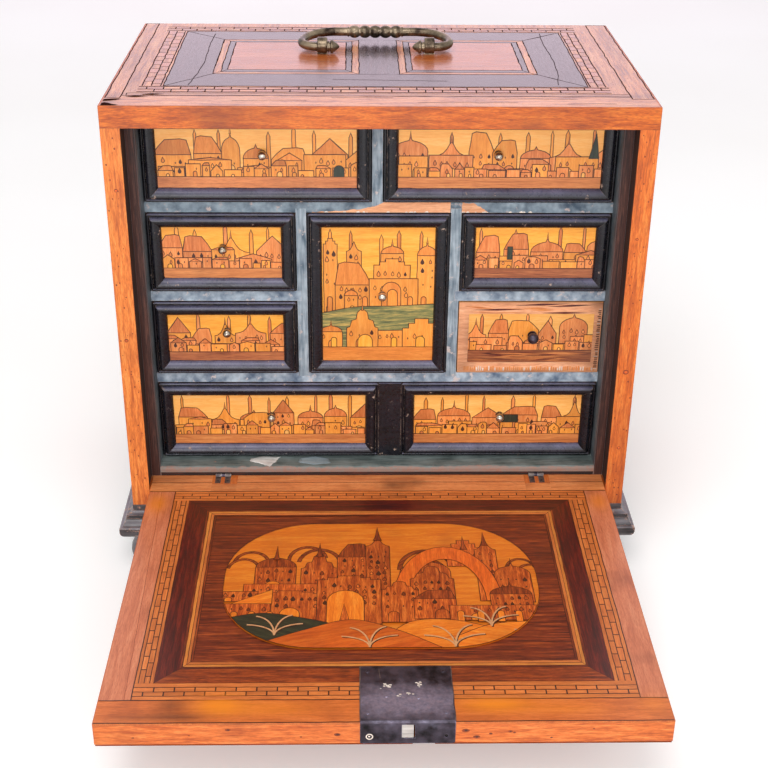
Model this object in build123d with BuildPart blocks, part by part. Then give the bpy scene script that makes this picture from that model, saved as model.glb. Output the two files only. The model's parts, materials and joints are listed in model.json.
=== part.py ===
from build123d import *
from math import cos, radians, sin, sqrt
import os

# A small fall-front table cabinet with a nest of eight drawers, a bail handle and a lock.
#
# Millimetres, +Z up, +X to the viewer's right, the drawers' fronts facing -Y. The fall front (leaf) is
# modelled open, lying forward. The origin is on the floor, at the middle of the open cabinet's length.

# ---------------------------------------------------------------- driving dimensions: the case
case_width = 450.0
case_depth = 282.4
opening_height = 337.2  # from the leaf's hinge line to the underside of the top board
top_thickness = 18.3
side_thickness = 16.0
bottom_thickness = 18.5
back_thickness = 9.0
liner_thickness = 8.0
sill_thickness = 9.0
sill_nosing = 3.0  # radius of the sill's front arris
top_arris = 1.2  # radius of the eased arrises of the top board
leaf_arris = 2.4  # radius of the arris under the leaf's free end
stop_gap = 0.1  # between the shut leaf and the linings that stop it

# ---------------------------------------------------------------- driving dimensions: base and feet
base_height = 31.0
base_width = 42.0  # across each member of the base frame
base_projection = 12.5  # how far the moulding stands out past the case
back_rail_width = 24.0
fillet_height = 5.5  # the flat band along the moulding's top
fillet_projection = 0.5
hollow_step = 0.8  # the ledge above the shallow hollow
hollow_width = 4.7
hollow_height = 2.3
hollow_sag = 0.7
band_height = 3.3  # the upright band under the hollow
ogee_step = 0.6
ogee_width = 3.0
ogee_lean = 0.1  # how far the ogee leans out where it starts, over its fall
nose_height = 12.6  # the rounded nose along the moulding's foot
nose_arris = 0.8
nose_turn = 8.5  # from the moulding's foot to where the nose starts to turn under
nose_undercut = 7.0
foot_height = 37.5
foot_radius = 19.2
foot_belly_rise = 17.0  # from the floor to the bun's widest part
foot_inset = 25.0  # from the moulding's outer faces to a foot's axis
foot_pad_radius = 13.0
foot_neck_radius = 11.0
foot_neck_height = 3.5
foot_collar_radius = 15.0
foot_collar_height = 5.0
spigot_radius = 7.0
spigot_length = 16.0
spigot_clearance = 0.1

# ---------------------------------------------------------------- driving dimensions: the leaf
leaf_thickness = 20.6
leaf_setback = 0.2  # the shut leaf stands this far behind the case's front edges
leaf_side_gap = 1.0
leaf_end_gap = 0.8
leaf_rest_gap = 0.2  # between the open leaf and the base it rests on
veneer_thickness = 1.4
picture_width = 257.5
picture_depth = 172.5
picture_corner = 76.0
picture_margin = 82.0  # from the hinge line to the picture
picture_gap = 0.05

# ---------------------------------------------------------------- driving dimensions: the nest of drawers
nest_setback = 43.0  # from the case's front edges to the fronts of the dividers
shelf_thickness = 9.5
upright_thickness = 9.0
housing_depth = 3.5
loose_housing = 1.4  # what the right upright's upper housing is wider by
lower_shelf_rise = 86.7  # from the sill's top to the lower shelf's top
middle_shelf_rise = 81.0  # from the lower shelf's top to the short shelves' tops
upper_shelf_rise = 164.0  # from the lower shelf's top to the upper shelf's top
top_upright_x = -1.9
left_upright_x = -67.5
right_upright_x = 66.3

# ---------------------------------------------------------------- driving dimensions: the drawers
drawer_side_gap = 0.8
drawer_top_gap = 1.0
drawer_floor_gap = 0.2
drawer_back_gap = 0.3
drawer_front_thickness = 11.0
drawer_side_thickness = 6.0
drawer_bottom_thickness = 4.0
drawer_rim_drop = 3.0  # the box's rim lies this far under the front's top edge
frame_width = 12.3  # a drawer moulding, across
frame_height = 6.0  # and how far it stands out
frame_bead_radius = 1.2
frame_lip = 1.2  # the thickness left at the moulding's inner edge
frame_quirk = 0.7
frame_crest = 2.6  # radius of the edge where the ovolo starts
frame_corner = 3.0  # the worn outer corners of a moulding frame
centre_band_x = 10.9  # the flat band between the bottom drawer's two panels
centre_band_width = 20.6
band_thickness = 2.0
knob_radius = 3.9
iron_knob_radius = 5.0
knob_neck_length = 2.4
knob_collar_height = 0.9
knob_collar_share = 0.85  # the collar's radius over the ball's
knob_pin_radius = 1.3
knob_pin_clearance = 0.05

# ---------------------------------------------------------------- driving dimensions: handle, hinges and lock
handle_x = -2.0
handle_setback = 167.0  # from the case's front edges to the bail's pivots
handle_rise = 6.5  # of the pivots above the top
handle_tilt = 4.0  # degrees that the resting bail rises towards its grip
bail_radius = 3.9
bail_half_width = 66.7
bail_reach = 44.0
bail_elbow = 13.0  # radius of the two small bends by the eyes; the large bends take up the rest
bead_count = 5
bead_pitch = 9.6
bead_radius = 5.7
bead_length = 8.2
bead_edge = 0.4  # how far a bead's edges stand above the grip
ring_radius = 4.6
ring_length = 1.8
acorn_radius = 5.9
acorn_rim_radius = 5.0
acorn_tip_radius = 0.6
acorn_length = 10.5
acorn_gap = 0.3  # from the eye to the acorn's collar
acorn_collar = 1.4
acorn_neck = 0.9
acorn_cup = 3.0
acorn_fullness = 0.55  # the nut's radius half way to its tip, over the cup's
eye_spacing = 96.4
eye_width = 9.0
eye_wall = 3.1
eye_crown = 1.4  # how far the eye's outside is centred above the bail's pivot
eye_rim = 1.0  # radius of the rounded rims
eye_clearance = 0.08
eye_strip = 1.9  # thickness of each of the split eye's two tails
eye_strip_gap = 0.4
eye_tail_reach = 12.0  # how far each tail is bent along the board's underside
eye_slot_clearance = 0.2

hinge_spacing = 290.0
hinge_x = 2.0
strap_thickness = 1.2
strap_length = 14.0
strap_width = 5.2
case_knuckle_width = 3.2
knuckle_gap = 0.2
knuckle_radius = 2.4
knuckle_groove_clearance = 0.5
hinge_pin_radius = 1.2
hinge_pin_clearance = 0.05
case_plate_length = 22.0
let_in_clearance = 0.05

lock_x = 16.5
lock_width = 68.5
lock_length = 61.0
lock_flange_height = 19.6
lock_plate_thickness = 1.5
lock_plate_proud = 0.5
lock_bend_radius = 2.0
lock_corner_radius = 1.6
bolt_width = 8.4
bolt_height = 12.0
bolt_drop = 2.6  # from the leaf's face down to the bolt
bolt_clearance = 0.2
bolt_slack = 0.9  # what the flange's worn hole is wider by, at the bolt's right
bolt_head_length = 16.0
bolt_tail_length = 30.0
bolt_tail_height = 4.0
bolt_throw = 8.0
bolt_recess = 0.4  # the drawn bolt's face lies this far inside the plate
bolt_notch_radius = 3.0
mortise_margin = 1.2
works_left = 18.0
works_right = 26.0
works_length = 52.0
works_depth = 16.0
staple_offset = 6.0
staple_thickness = 2.2
staple_width = 4.0
spring_strip = 0.8
spring_bow = 2.0
spring_foot_width = 4.0
key_offset = 12.0
key_setback = 24.0
drill_pin_radius = 1.5
drill_pin_shortfall = 3.0  # the pin stops this far short of the works' floor
keyhole_radius = 3.8
keyhole_slot_width = 3.0
keyhole_slot_length = 9.0
nail_hole_radius = 1.4
nail_hole_spread = 27.7
nail_hole_drop = 12.7

# ---------------------------------------------------------------- levels and faces that follow
base_z = foot_height
case_z = base_z + base_height
hinge_z = case_z + bottom_thickness
sill_z = hinge_z + sill_thickness
soffit_z = hinge_z + opening_height
top_z = soffit_z + top_thickness
leaf_under_z = hinge_z - leaf_thickness

leaf_length = opening_height - leaf_end_gap
hinge_inset = leaf_setback + leaf_thickness
open_length = case_depth - hinge_inset + leaf_length
back_y = open_length / 2
front_y = back_y - case_depth
hinge_y = front_y + hinge_inset
leaf_tip_y = hinge_y - leaf_length
lining_y = hinge_y + stop_gap
nest_y = front_y + nest_setback
panel_back_y = back_y - back_thickness

half_case = case_width / 2
half_inside = half_case - side_thickness
half_nest = half_inside - liner_thickness
half_leaf = half_inside - leaf_side_gap
half_base = half_case + base_projection
base_front_y = front_y - base_projection

lower_shelf_z = sill_z + lower_shelf_rise
middle_shelf_z = lower_shelf_z + middle_shelf_rise
upper_shelf_z = lower_shelf_z + upper_shelf_rise


# ---------------------------------------------------------------- small helpers
def span_rectangle(low_a, high_a, low_b, high_b):
    """Draw a rectangle between two pairs of limits in the sketch at hand."""
    with Locations(((low_a + high_a) / 2, (low_b + high_b) / 2)):
        Rectangle(high_a - low_a, high_b - low_b)


def board(x_limits, y_limits, z_limits):
    """A flat board between three pairs of faces."""
    with BuildPart() as piece:
        with BuildSketch(Plane.XY.offset(z_limits[0])):
            span_rectangle(*x_limits, *y_limits)
        extrude(amount=z_limits[1] - z_limits[0])
    return piece.part


def cut_box(x_limits, y_limits, z_limits):
    """Cut a box between three pairs of faces out of the part at hand."""
    with BuildSketch(Plane.XY.offset(z_limits[0])) as profile:
        span_rectangle(*x_limits, *y_limits)
    extrude(profile.sketch, amount=z_limits[1] - z_limits[0], mode=Mode.SUBTRACT)


def cut_round_x(centre_y, centre_z, radius, x_limits):
    """Cut a cylinder that lies along X out of the part at hand."""
    with BuildSketch(Plane.YZ.offset(x_limits[0])) as profile:
        with Locations((centre_y, centre_z)):
            Circle(radius)
    extrude(profile.sketch, amount=x_limits[1] - x_limits[0], mode=Mode.SUBTRACT)


def save(piece, label):
    """Label a finished piece and write it to its own file."""
    piece.label = label
    export_step(piece, f"parts/{label}.step")


os.makedirs("parts", exist_ok=True)

# ---------------------------------------------------------------- base frame: mitred, moulded outside
hollow_start = (fillet_projection + hollow_step, base_height - fillet_height)
hollow_end = (hollow_start[0] + hollow_width, hollow_start[1] - hollow_height)
ogee_start = (hollow_end[0] + ogee_step, hollow_end[1] - band_height)
ogee_end = (ogee_start[0] + ogee_width, nose_height)
ogee_middle = (
    (ogee_start[0] + ogee_end[0]) / 2,
    (ogee_start[1] + ogee_end[1]) / 2,
)
nose_foot = (base_projection - nose_undercut, 0.0)


def base_member(plane, length, mitre_normals):
    """One moulded member of the base frame.

    The plane's x axis points out of the case and its y axis points up; its origin lies under the case's
    face, at the member's start. Each mitre is a corner and a normal that faces the side that stays.
    """
    inner = base_projection - base_width
    with BuildPart() as member:
        with BuildSketch(plane):
            with BuildLine():
                Polyline(
                    nose_foot,
                    (inner, 0.0),
                    (inner, base_height),
                    (fillet_projection, base_height),
                    (fillet_projection, base_height - fillet_height),
                    hollow_start,
                )
                SagittaArc(hollow_start, hollow_end, -hollow_sag)
                Polyline(hollow_end, (hollow_end[0], ogee_start[1]), ogee_start)
                swell = TangentArc(ogee_start, ogee_middle, tangent=(ogee_lean, -1))
                TangentArc(ogee_middle, ogee_end, tangent=swell % 1)
                Polyline(
                    ogee_end,
                    (base_projection - nose_arris, nose_height),
                    (base_projection, nose_height - nose_arris),
                    (base_projection, nose_turn),
                )
                TangentArc((base_projection, nose_turn), nose_foot, tangent=(0, -1))
            make_face()
        extrude(amount=length)
        for corner, normal in mitre_normals:
            split(bisect_by=Plane(origin=corner, z_dir=normal), keep=Keep.TOP)
    return member.part


left_corner = (-half_base, base_front_y, base_z)
right_corner = (half_base, base_front_y, base_z)
foot_places = [
    (side * (half_base - foot_inset), y)
    for side in (-1, 1)
    for y in (base_front_y + foot_inset, back_y - foot_inset)
]


def cut_spigot_holes():
    """Cut the four feet's spigot holes out of the part at hand."""
    with BuildSketch(Plane.XY.offset(base_z)) as holes:
        with Locations(*foot_places):
            Circle(spigot_radius + spigot_clearance)
    extrude(holes.sketch, amount=spigot_length + spigot_clearance, mode=Mode.SUBTRACT)


def cut_leaf_rest():
    """Let the open leaf down into the base, because it is thicker than the bottom board."""
    cut_box(
        (-half_inside, half_inside),
        (base_front_y, lining_y),
        (leaf_under_z - leaf_rest_gap, case_z),
    )


with BuildPart() as base_front:
    add(
        base_member(
            Plane(origin=(half_base, front_y, base_z), x_dir=(0, -1, 0), z_dir=(-1, 0, 0)),
            2 * half_base,
            [(left_corner, (1, -1, 0)), (right_corner, (-1, -1, 0))],
        )
    )
    cut_spigot_holes()
    cut_leaf_rest()
save(base_front.part, "base_front")

with BuildPart() as base_left:
    add(
        base_member(
            Plane(origin=(-half_case, base_front_y, base_z), x_dir=(-1, 0, 0), z_dir=(0, 1, 0)),
            back_y - base_front_y,
            [(left_corner, (-1, 1, 0))],
        )
    )
    cut_spigot_holes()
    cut_leaf_rest()
save(base_left.part, "base_left")

with BuildPart() as base_right:
    add(
        base_member(
            Plane(origin=(half_case, back_y, base_z), x_dir=(1, 0, 0), z_dir=(0, -1, 0)),
            back_y - base_front_y,
            [(right_corner, (1, 1, 0))],
        )
    )
    cut_spigot_holes()
    cut_leaf_rest()
save(base_right.part, "base_right")

half_rail = half_base - base_width
base_back = board((-half_rail, half_rail), (back_y - back_rail_width, back_y), (base_z, case_z))
save(base_back, "base_back")

# ---------------------------------------------------------------- four turned bun feet with spigots
collar_z = foot_height - foot_collar_height
neck_z = collar_z - foot_neck_height

with BuildPart() as foot:
    with BuildSketch(Plane.XZ):
        with BuildLine():
            ThreePointArc((foot_pad_radius, 0), (foot_radius, foot_belly_rise), (foot_neck_radius, neck_z))
            Polyline(
                (foot_neck_radius, neck_z),
                (foot_neck_radius, collar_z),
                (foot_collar_radius, collar_z),
                (foot_collar_radius, foot_height),
                (spigot_radius, foot_height),
                (spigot_radius, foot_height + spigot_length),
                (0, foot_height + spigot_length),
                (0, 0),
                (foot_pad_radius, 0),
            )
        make_face()
    revolve(axis=Axis.Z)

with BuildPart() as bun_feet:
    with Locations(*foot_places):
        add(foot.part)
save(bun_feet.part, "bun_feet")

# ---------------------------------------------------------------- the case
side_left = board((-half_case, -half_inside), (front_y, back_y), (case_z, soffit_z))
save(side_left, "side_left")
side_right = board((half_inside, half_case), (front_y, back_y), (case_z, soffit_z))
save(side_right, "side_right")
back_board = board((-half_inside, half_inside), (panel_back_y, back_y), (hinge_z, soffit_z))
save(back_board, "back_board")

handle_y = front_y + handle_setback
handle_z = top_z + handle_rise
eye_outer_radius = bail_radius + eye_clearance + eye_wall
eye_centres = (handle_x - eye_spacing / 2, handle_x + eye_spacing / 2)
eye_half_shank = eye_strip + eye_strip_gap / 2
eye_pocket_depth = eye_strip + eye_slot_clearance
bolt_top_z = hinge_z - bolt_drop
bolt_low_z = bolt_top_z - bolt_height

with BuildPart() as top_board:
    add(board((-half_case, half_case), (front_y, back_y), (soffit_z, top_z)))
    for eye_x in eye_centres:
        slot_x = eye_width / 2 + eye_slot_clearance
        slot_y = eye_half_shank + eye_slot_clearance
        tail_y = eye_tail_reach + eye_slot_clearance
        x_limits = (eye_x - slot_x, eye_x + slot_x)
        cut_box(x_limits, (handle_y - slot_y, handle_y + slot_y), (soffit_z, top_z))
        cut_box(x_limits, (handle_y - tail_y, handle_y + tail_y), (soffit_z, soffit_z + eye_pocket_depth))
    # The mortise that the bolt enters when the leaf is shut: the leaf's depths become setbacks.
    cut_box(
        (lock_x - bolt_width / 2 - mortise_margin, lock_x + bolt_width / 2 + mortise_margin),
        (
            hinge_y + bolt_low_z - hinge_z - mortise_margin,
            hinge_y + bolt_top_z - hinge_z + mortise_margin,
        ),
        (soffit_z, soffit_z + bolt_throw + mortise_margin),
    )
    top_edges = top_board.edges().filter_by_position(Axis.Z, top_z, top_z).filter_by(Axis.X)
    fillet([top_edges.sort_by(Axis.Y)[0], top_edges.sort_by(Axis.Y)[-1]], radius=top_arris)
save(top_board.part, "top_board")

# ---------------------------------------------------------------- hinges: places and half widths
hinge_places = (hinge_x - hinge_spacing / 2, hinge_x + hinge_spacing / 2)
half_knuckle = case_knuckle_width / 2
strap_inner = half_knuckle + knuckle_gap
strap_outer = strap_inner + strap_width
groove_radius = knuckle_radius + knuckle_groove_clearance
groove_half = strap_outer + knuckle_gap


def cut_knuckle_grooves():
    """Cut the round seats of both hinges' knuckles out of the part at hand."""
    for place in hinge_places:
        cut_round_x(hinge_y, hinge_z, groove_radius, (place - groove_half, place + groove_half))


with BuildPart() as bottom_board:
    add(board((-half_inside, half_inside), (lining_y, back_y), (case_z, hinge_z)))
    cut_knuckle_grooves()
    for place in hinge_places:
        neck = half_knuckle + let_in_clearance
        plate = strap_outer + let_in_clearance
        recess = (hinge_z - strap_thickness - let_in_clearance, hinge_z)
        cut_box((place - neck, place + neck), (lining_y, hinge_y + 2 * groove_radius), recess)
        cut_box(
            (place - plate, place + plate),
            (hinge_y + groove_radius, hinge_y + case_plate_length + let_in_clearance),
            recess,
        )
save(bottom_board.part, "bottom_board")

with BuildPart() as sill_board:
    add(board((-half_nest, half_nest), (lining_y, panel_back_y), (hinge_z, sill_z)))
    cut_knuckle_grooves()
    front_arris = sill_board.edges().filter_by(Axis.X).filter_by_position(Axis.Z, sill_z, sill_z)
    fillet(front_arris.sort_by(Axis.Y)[0], radius=sill_nosing)
save(sill_board.part, "sill_board")

hinge_parts = []
for place in hinge_places:
    with BuildPart() as case_plate:
        with BuildSketch(Plane.YZ.offset(place - half_knuckle)):
            with Locations((hinge_y, hinge_z)):
                Circle(knuckle_radius)
            span_rectangle(hinge_y, hinge_y + 2 * groove_radius, hinge_z - strap_thickness, hinge_z)
        extrude(amount=case_knuckle_width)
        with BuildSketch(Plane.XY.offset(hinge_z)):
            span_rectangle(
                place - strap_outer,
                place + strap_outer,
                hinge_y + groove_radius + let_in_clearance,
                hinge_y + case_plate_length,
            )
        extrude(amount=-strap_thickness)
        cut_round_x(
            hinge_y,
            hinge_z,
            hinge_pin_radius + hinge_pin_clearance,
            (place - half_knuckle, place + half_knuckle),
        )
    with BuildPart() as hinge_pin:
        with BuildSketch(Plane.YZ.offset(place - strap_outer)):
            with Locations((hinge_y, hinge_z)):
                Circle(hinge_pin_radius)
        extrude(amount=2 * strap_outer)
    hinge_parts += [case_plate.part, hinge_pin.part]
save(Compound(children=hinge_parts), "hinge_plates_and_pins")

with BuildPart() as hinge_straps:
    for place in hinge_places:
        for low in (place - strap_outer, place + strap_inner):
            with BuildSketch(Plane.YZ.offset(low)):
                with Locations((hinge_y, hinge_z)):
                    Circle(knuckle_radius)
                span_rectangle(hinge_y - strap_length, hinge_y, hinge_z - strap_thickness, hinge_z)
                with Locations((hinge_y, hinge_z)):
                    Circle(hinge_pin_radius + hinge_pin_clearance, mode=Mode.SUBTRACT)
            extrude(amount=strap_width)
save(hinge_straps.part, "hinge_straps")

# ---------------------------------------------------------------- the nest: linings, shelves and uprights
nest_depth = (nest_y, panel_back_y)


def cut_housing(x_limits, z_limits):
    """Cut a housing that runs the depth of the nest out of the part at hand."""
    cut_box(x_limits, nest_depth, z_limits)


shelf_bottoms = {
    "lower": lower_shelf_z - shelf_thickness,
    "middle": middle_shelf_z - shelf_thickness,
    "upper": upper_shelf_z - shelf_thickness,
}
shelf_tops = {"lower": lower_shelf_z, "middle": middle_shelf_z, "upper": upper_shelf_z}
half_upright = upright_thickness / 2

for side, label in ((-1, "liner_left"), (1, "liner_right")):
    inner_x = side * half_nest
    outer_x = side * half_inside
    with BuildPart() as liner:
        add(
            board(
                (min(inner_x, outer_x), max(inner_x, outer_x)),
                (lining_y, panel_back_y),
                (hinge_z, soffit_z),
            )
        )
        housing_x = side * (half_nest + housing_depth)
        for level in shelf_tops:
            cut_housing(
                (min(inner_x, housing_x), max(inner_x, housing_x)),
                (shelf_bottoms[level], shelf_tops[level]),
            )
    save(liner.part, label)

long_shelf = (-half_nest - housing_depth, half_nest + housing_depth)

with BuildPart() as shelf_upper:
    add(board(long_shelf, nest_depth, (shelf_bottoms["upper"], upper_shelf_z)))
    cut_housing(
        (top_upright_x - half_upright, top_upright_x + half_upright),
        (upper_shelf_z - housing_depth, upper_shelf_z),
    )
    for upright_x, slack in ((left_upright_x, 0.0), (right_upright_x, loose_housing)):
        cut_housing(
            (upright_x - half_upright, upright_x + half_upright + slack),
            (shelf_bottoms["upper"], shelf_bottoms["upper"] + housing_depth),
        )
save(shelf_upper.part, "shelf_upper")

with BuildPart() as shelf_lower:
    add(board(long_shelf, nest_depth, (shelf_bottoms["lower"], lower_shelf_z)))
    for upright_x in (left_upright_x, right_upright_x):
        cut_housing(
            (upright_x - half_upright, upright_x + half_upright),
            (lower_shelf_z - housing_depth, lower_shelf_z),
        )
save(shelf_lower.part, "shelf_lower")

upright_top = board(
    (top_upright_x - half_upright, top_upright_x + half_upright),
    nest_depth,
    (upper_shelf_z - housing_depth, soffit_z),
)
save(upright_top, "upright_top")

for side, upright_x, label in ((-1, left_upright_x, "upright_left"), (1, right_upright_x, "upright_right")):
    face_x = upright_x + side * half_upright
    housing_x = face_x - side * housing_depth
    with BuildPart() as upright:
        add(
            board(
                (upright_x - half_upright, upright_x + half_upright),
                nest_depth,
                (lower_shelf_z - housing_depth, shelf_bottoms["upper"] + housing_depth),
            )
        )
        cut_housing(
            (min(face_x, housing_x), max(face_x, housing_x)),
            (shelf_bottoms["middle"], middle_shelf_z),
        )
    save(upright.part, label)

short_shelves = Compound(
    children=[
        board(
            (long_shelf[0], left_upright_x - half_upright + housing_depth),
            nest_depth,
            (shelf_bottoms["middle"], middle_shelf_z),
        ),
        board(
            (right_upright_x + half_upright - housing_depth, long_shelf[1]),
            nest_depth,
            (shelf_bottoms["middle"], middle_shelf_z),
        ),
    ]
)
save(short_shelves, "short_shelves")

# ---------------------------------------------------------------- the leaf
lock_left = lock_x - lock_width / 2
lock_right = lock_x + lock_width / 2
lock_back_y = leaf_tip_y + lock_length
plate_under_z = hinge_z + lock_plate_proud - lock_plate_thickness
works_floor_z = hinge_z - works_depth
key_x = lock_x + key_offset
key_y = leaf_tip_y + key_setback


def cut_lock_seat():
    """Let the lock plate and its works into the part at hand."""
    cut_box(
        (lock_left - let_in_clearance, lock_right + let_in_clearance),
        (leaf_tip_y, lock_back_y + let_in_clearance),
        (plate_under_z, hinge_z),
    )
    cut_box(
        (lock_left - let_in_clearance, lock_right + let_in_clearance),
        (leaf_tip_y, leaf_tip_y + lock_plate_thickness),
        (hinge_z - lock_flange_height - let_in_clearance, hinge_z),
    )
    cut_box(
        (lock_x - works_left, lock_x + works_right),
        (leaf_tip_y, leaf_tip_y + works_length),
        (works_floor_z, hinge_z),
    )


def cut_strap_seats():
    """Let both hinges' straps and knuckles into the part at hand."""
    cut_knuckle_grooves()
    for place in hinge_places:
        for low in (place - strap_outer, place + strap_inner):
            cut_box(
                (low - let_in_clearance, low + strap_width + let_in_clearance),
                (hinge_y - strap_length - let_in_clearance, hinge_y),
                (hinge_z - strap_thickness - let_in_clearance, hinge_z),
            )


with BuildPart() as leaf_board:
    add(
        board(
            (-half_leaf, half_leaf),
            (leaf_tip_y, hinge_y),
            (leaf_under_z, hinge_z - veneer_thickness),
        )
    )
    under_edges = leaf_board.edges().filter_by(Axis.X).filter_by_position(Axis.Z, leaf_under_z, leaf_under_z)
    fillet(under_edges.sort_by(Axis.Y)[0], radius=leaf_arris)
    cut_lock_seat()
    cut_strap_seats()
    with BuildSketch(Plane.XY.offset(leaf_under_z)):
        with Locations((key_x, key_y)):
            Circle(keyhole_radius)
        span_rectangle(
            key_x - keyhole_slot_width / 2,
            key_x + keyhole_slot_width / 2,
            key_y,
            key_y + keyhole_slot_length,
        )
    extrude(amount=works_floor_z - leaf_under_z, mode=Mode.SUBTRACT)
save(leaf_board.part, "leaf_board")

picture_y = hinge_y - picture_margin - picture_depth / 2

with BuildPart() as leaf_veneer:
    with BuildSketch(Plane.XY.offset(hinge_z - veneer_thickness)):
        span_rectangle(-half_leaf, half_leaf, leaf_tip_y, hinge_y)
        with Locations((0, picture_y)):
            RectangleRounded(picture_width, picture_depth, picture_corner, mode=Mode.SUBTRACT)
    extrude(amount=veneer_thickness)
    cut_lock_seat()
    cut_strap_seats()
save(leaf_veneer.part, "leaf_veneer")

with BuildPart() as leaf_picture:
    with BuildSketch(Plane.XY.offset(hinge_z - veneer_thickness)):
        with Locations((0, picture_y)):
            RectangleRounded(
                picture_width - 2 * picture_gap,
                picture_depth - 2 * picture_gap,
                picture_corner - picture_gap,
            )
    extrude(amount=veneer_thickness)
save(leaf_picture.part, "leaf_picture")

# ---------------------------------------------------------------- the lock
with BuildPart() as lock_plate:
    plate_top_z = hinge_z + lock_plate_proud
    flange_foot_z = hinge_z - lock_flange_height
    flange_back_y = leaf_tip_y + lock_plate_thickness
    with BuildSketch(Plane.YZ.offset(lock_left)):
        with BuildLine():
            Line((leaf_tip_y, flange_foot_z), (leaf_tip_y, plate_top_z - lock_bend_radius))
            RadiusArc(
                (leaf_tip_y, plate_top_z - lock_bend_radius),
                (leaf_tip_y + lock_bend_radius, plate_top_z),
                lock_bend_radius,
            )
            Polyline(
                (leaf_tip_y + lock_bend_radius, plate_top_z),
                (lock_back_y, plate_top_z),
                (lock_back_y, plate_under_z),
                (flange_back_y, plate_under_z),
                (flange_back_y, flange_foot_z),
                (leaf_tip_y, flange_foot_z),
            )
        make_face()
    extrude(amount=lock_width)
    lower_corners = lock_plate.edges().filter_by(Axis.Y).group_by(Axis.Z)[0]
    fillet(lower_corners, radius=lock_corner_radius)
    with BuildSketch(Plane.XZ.offset(-flange_back_y)):
        with Locations((lock_x, (bolt_top_z + bolt_low_z) / 2)):
            Rectangle(bolt_width + 2 * bolt_clearance, bolt_height + 2 * bolt_clearance)
        with Locations((lock_x + bolt_slack, (bolt_top_z + bolt_low_z) / 2)):
            Rectangle(bolt_width + 2 * bolt_clearance, bolt_height + 2 * bolt_clearance)
        with Locations((lock_x + nail_hole_spread, hinge_z - nail_hole_drop)):
            Circle(nail_hole_radius)
    extrude(amount=lock_plate_thickness, mode=Mode.SUBTRACT)
save(lock_plate.part, "lock_plate")

bolt_face_y = leaf_tip_y + bolt_recess
bolt_shoulder_y = bolt_face_y + bolt_head_length
bolt_end_y = bolt_shoulder_y + bolt_tail_length

with BuildPart() as lock_bolt:
    with BuildSketch(Plane.YZ.offset(lock_x - bolt_width / 2)):
        Polygon(
            (bolt_face_y, bolt_low_z),
            (bolt_shoulder_y, bolt_low_z),
            (bolt_shoulder_y, bolt_top_z - bolt_tail_height),
            (bolt_end_y, bolt_top_z - bolt_tail_height),
            (bolt_end_y, bolt_top_z),
            (bolt_face_y, bolt_top_z),
            align=None,
        )
    extrude(amount=bolt_width)
    # The notch that the key's bit pushes against.
    with BuildSketch(Plane.XY.offset(bolt_top_z)):
        with Locations((lock_x + bolt_width / 2, key_y)):
            Circle(bolt_notch_radius)
    extrude(amount=-bolt_tail_height, mode=Mode.SUBTRACT)
save(lock_bolt.part, "lock_bolt")

staple_y = key_y + staple_offset
staple_inner = bolt_width / 2 + bolt_clearance
staple_outer = staple_inner + staple_thickness
staple_bridge_z = bolt_top_z - bolt_tail_height - bolt_clearance

with BuildPart() as lock_staple:
    with BuildSketch(Plane.XZ.offset(-staple_y)):
        span_rectangle(
            lock_x - staple_outer,
            lock_x + staple_outer,
            staple_bridge_z - staple_thickness,
            plate_under_z,
        )
        with Locations((lock_x, (plate_under_z + staple_bridge_z) / 2)):
            Rectangle(2 * staple_inner, plate_under_z - staple_bridge_z, mode=Mode.SUBTRACT)
    extrude(amount=-staple_width)

with BuildPart() as drill_pin:
    with BuildSketch(Plane.XY.offset(plate_under_z)):
        with Locations((key_x, key_y)):
            Circle(drill_pin_radius)
    extrude(amount=-(works_depth - drill_pin_shortfall))

spring_foot = (lock_x - works_left + spring_foot_width, leaf_tip_y + works_length - spring_foot_width)
spring_tip = (lock_x - bolt_width / 2 - bolt_clearance - spring_strip / 2, key_y)

with BuildPart() as lock_spring:
    with BuildSketch(Plane.XY.offset(bolt_top_z)):
        with BuildLine():
            ThreePointArc(
                spring_foot,
                (
                    (spring_foot[0] + spring_tip[0]) / 2 - spring_bow,
                    (spring_foot[1] + spring_tip[1]) / 2,
                ),
                spring_tip,
            )
        trace(line_width=spring_strip)
    extrude(amount=-bolt_tail_height)
    with BuildSketch(Plane.XY.offset(plate_under_z)):
        with Locations(spring_foot):
            Circle(spring_foot_width / 2)
    extrude(amount=bolt_top_z - bolt_tail_height - plate_under_z)
save(Compound(children=[lock_staple.part, drill_pin.part, lock_spring.part]), "lock_works")

# ---------------------------------------------------------------- the handle: split eyes and a cast bail
with BuildPart() as handle_eyes:
    tail_z = soffit_z + eye_slot_clearance / 2
    for eye_x in eye_centres:
        with BuildSketch(Plane.YZ.offset(eye_x - eye_width / 2)):
            with Locations((handle_y, handle_z + eye_crown)):
                Circle(eye_outer_radius)
            span_rectangle(handle_y - eye_half_shank, handle_y + eye_half_shank, tail_z, handle_z)
            span_rectangle(
                handle_y - eye_tail_reach,
                handle_y + eye_tail_reach,
                tail_z,
                tail_z + eye_strip,
            )
            with Locations((handle_y, (tail_z + handle_z) / 2)):
                Rectangle(eye_strip_gap, handle_z - tail_z, mode=Mode.SUBTRACT)
            with Locations((handle_y, handle_z)):
                Circle(bail_radius + eye_clearance, mode=Mode.SUBTRACT)
        extrude(amount=eye_width)
    rims = handle_eyes.edges().filter_by(GeomType.CIRCLE).group_by(SortBy.RADIUS)[-1]
    fillet(rims, radius=eye_rim)
save(handle_eyes.part, "handle_eyes")

tilt = radians(handle_tilt)
bail_plane = Plane(
    origin=(handle_x, handle_y, handle_z),
    x_dir=(1, 0, 0),
    z_dir=(0, -sin(tilt), cos(tilt)),
)
bail_bend = bail_reach - bail_elbow
elbow_x = bail_half_width - bail_elbow
shoulder_x = bail_half_width - bail_bend
acorn_base_x = eye_spacing / 2 - eye_width / 2 - acorn_gap
acorn_tip_x = acorn_base_x - acorn_length


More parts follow.
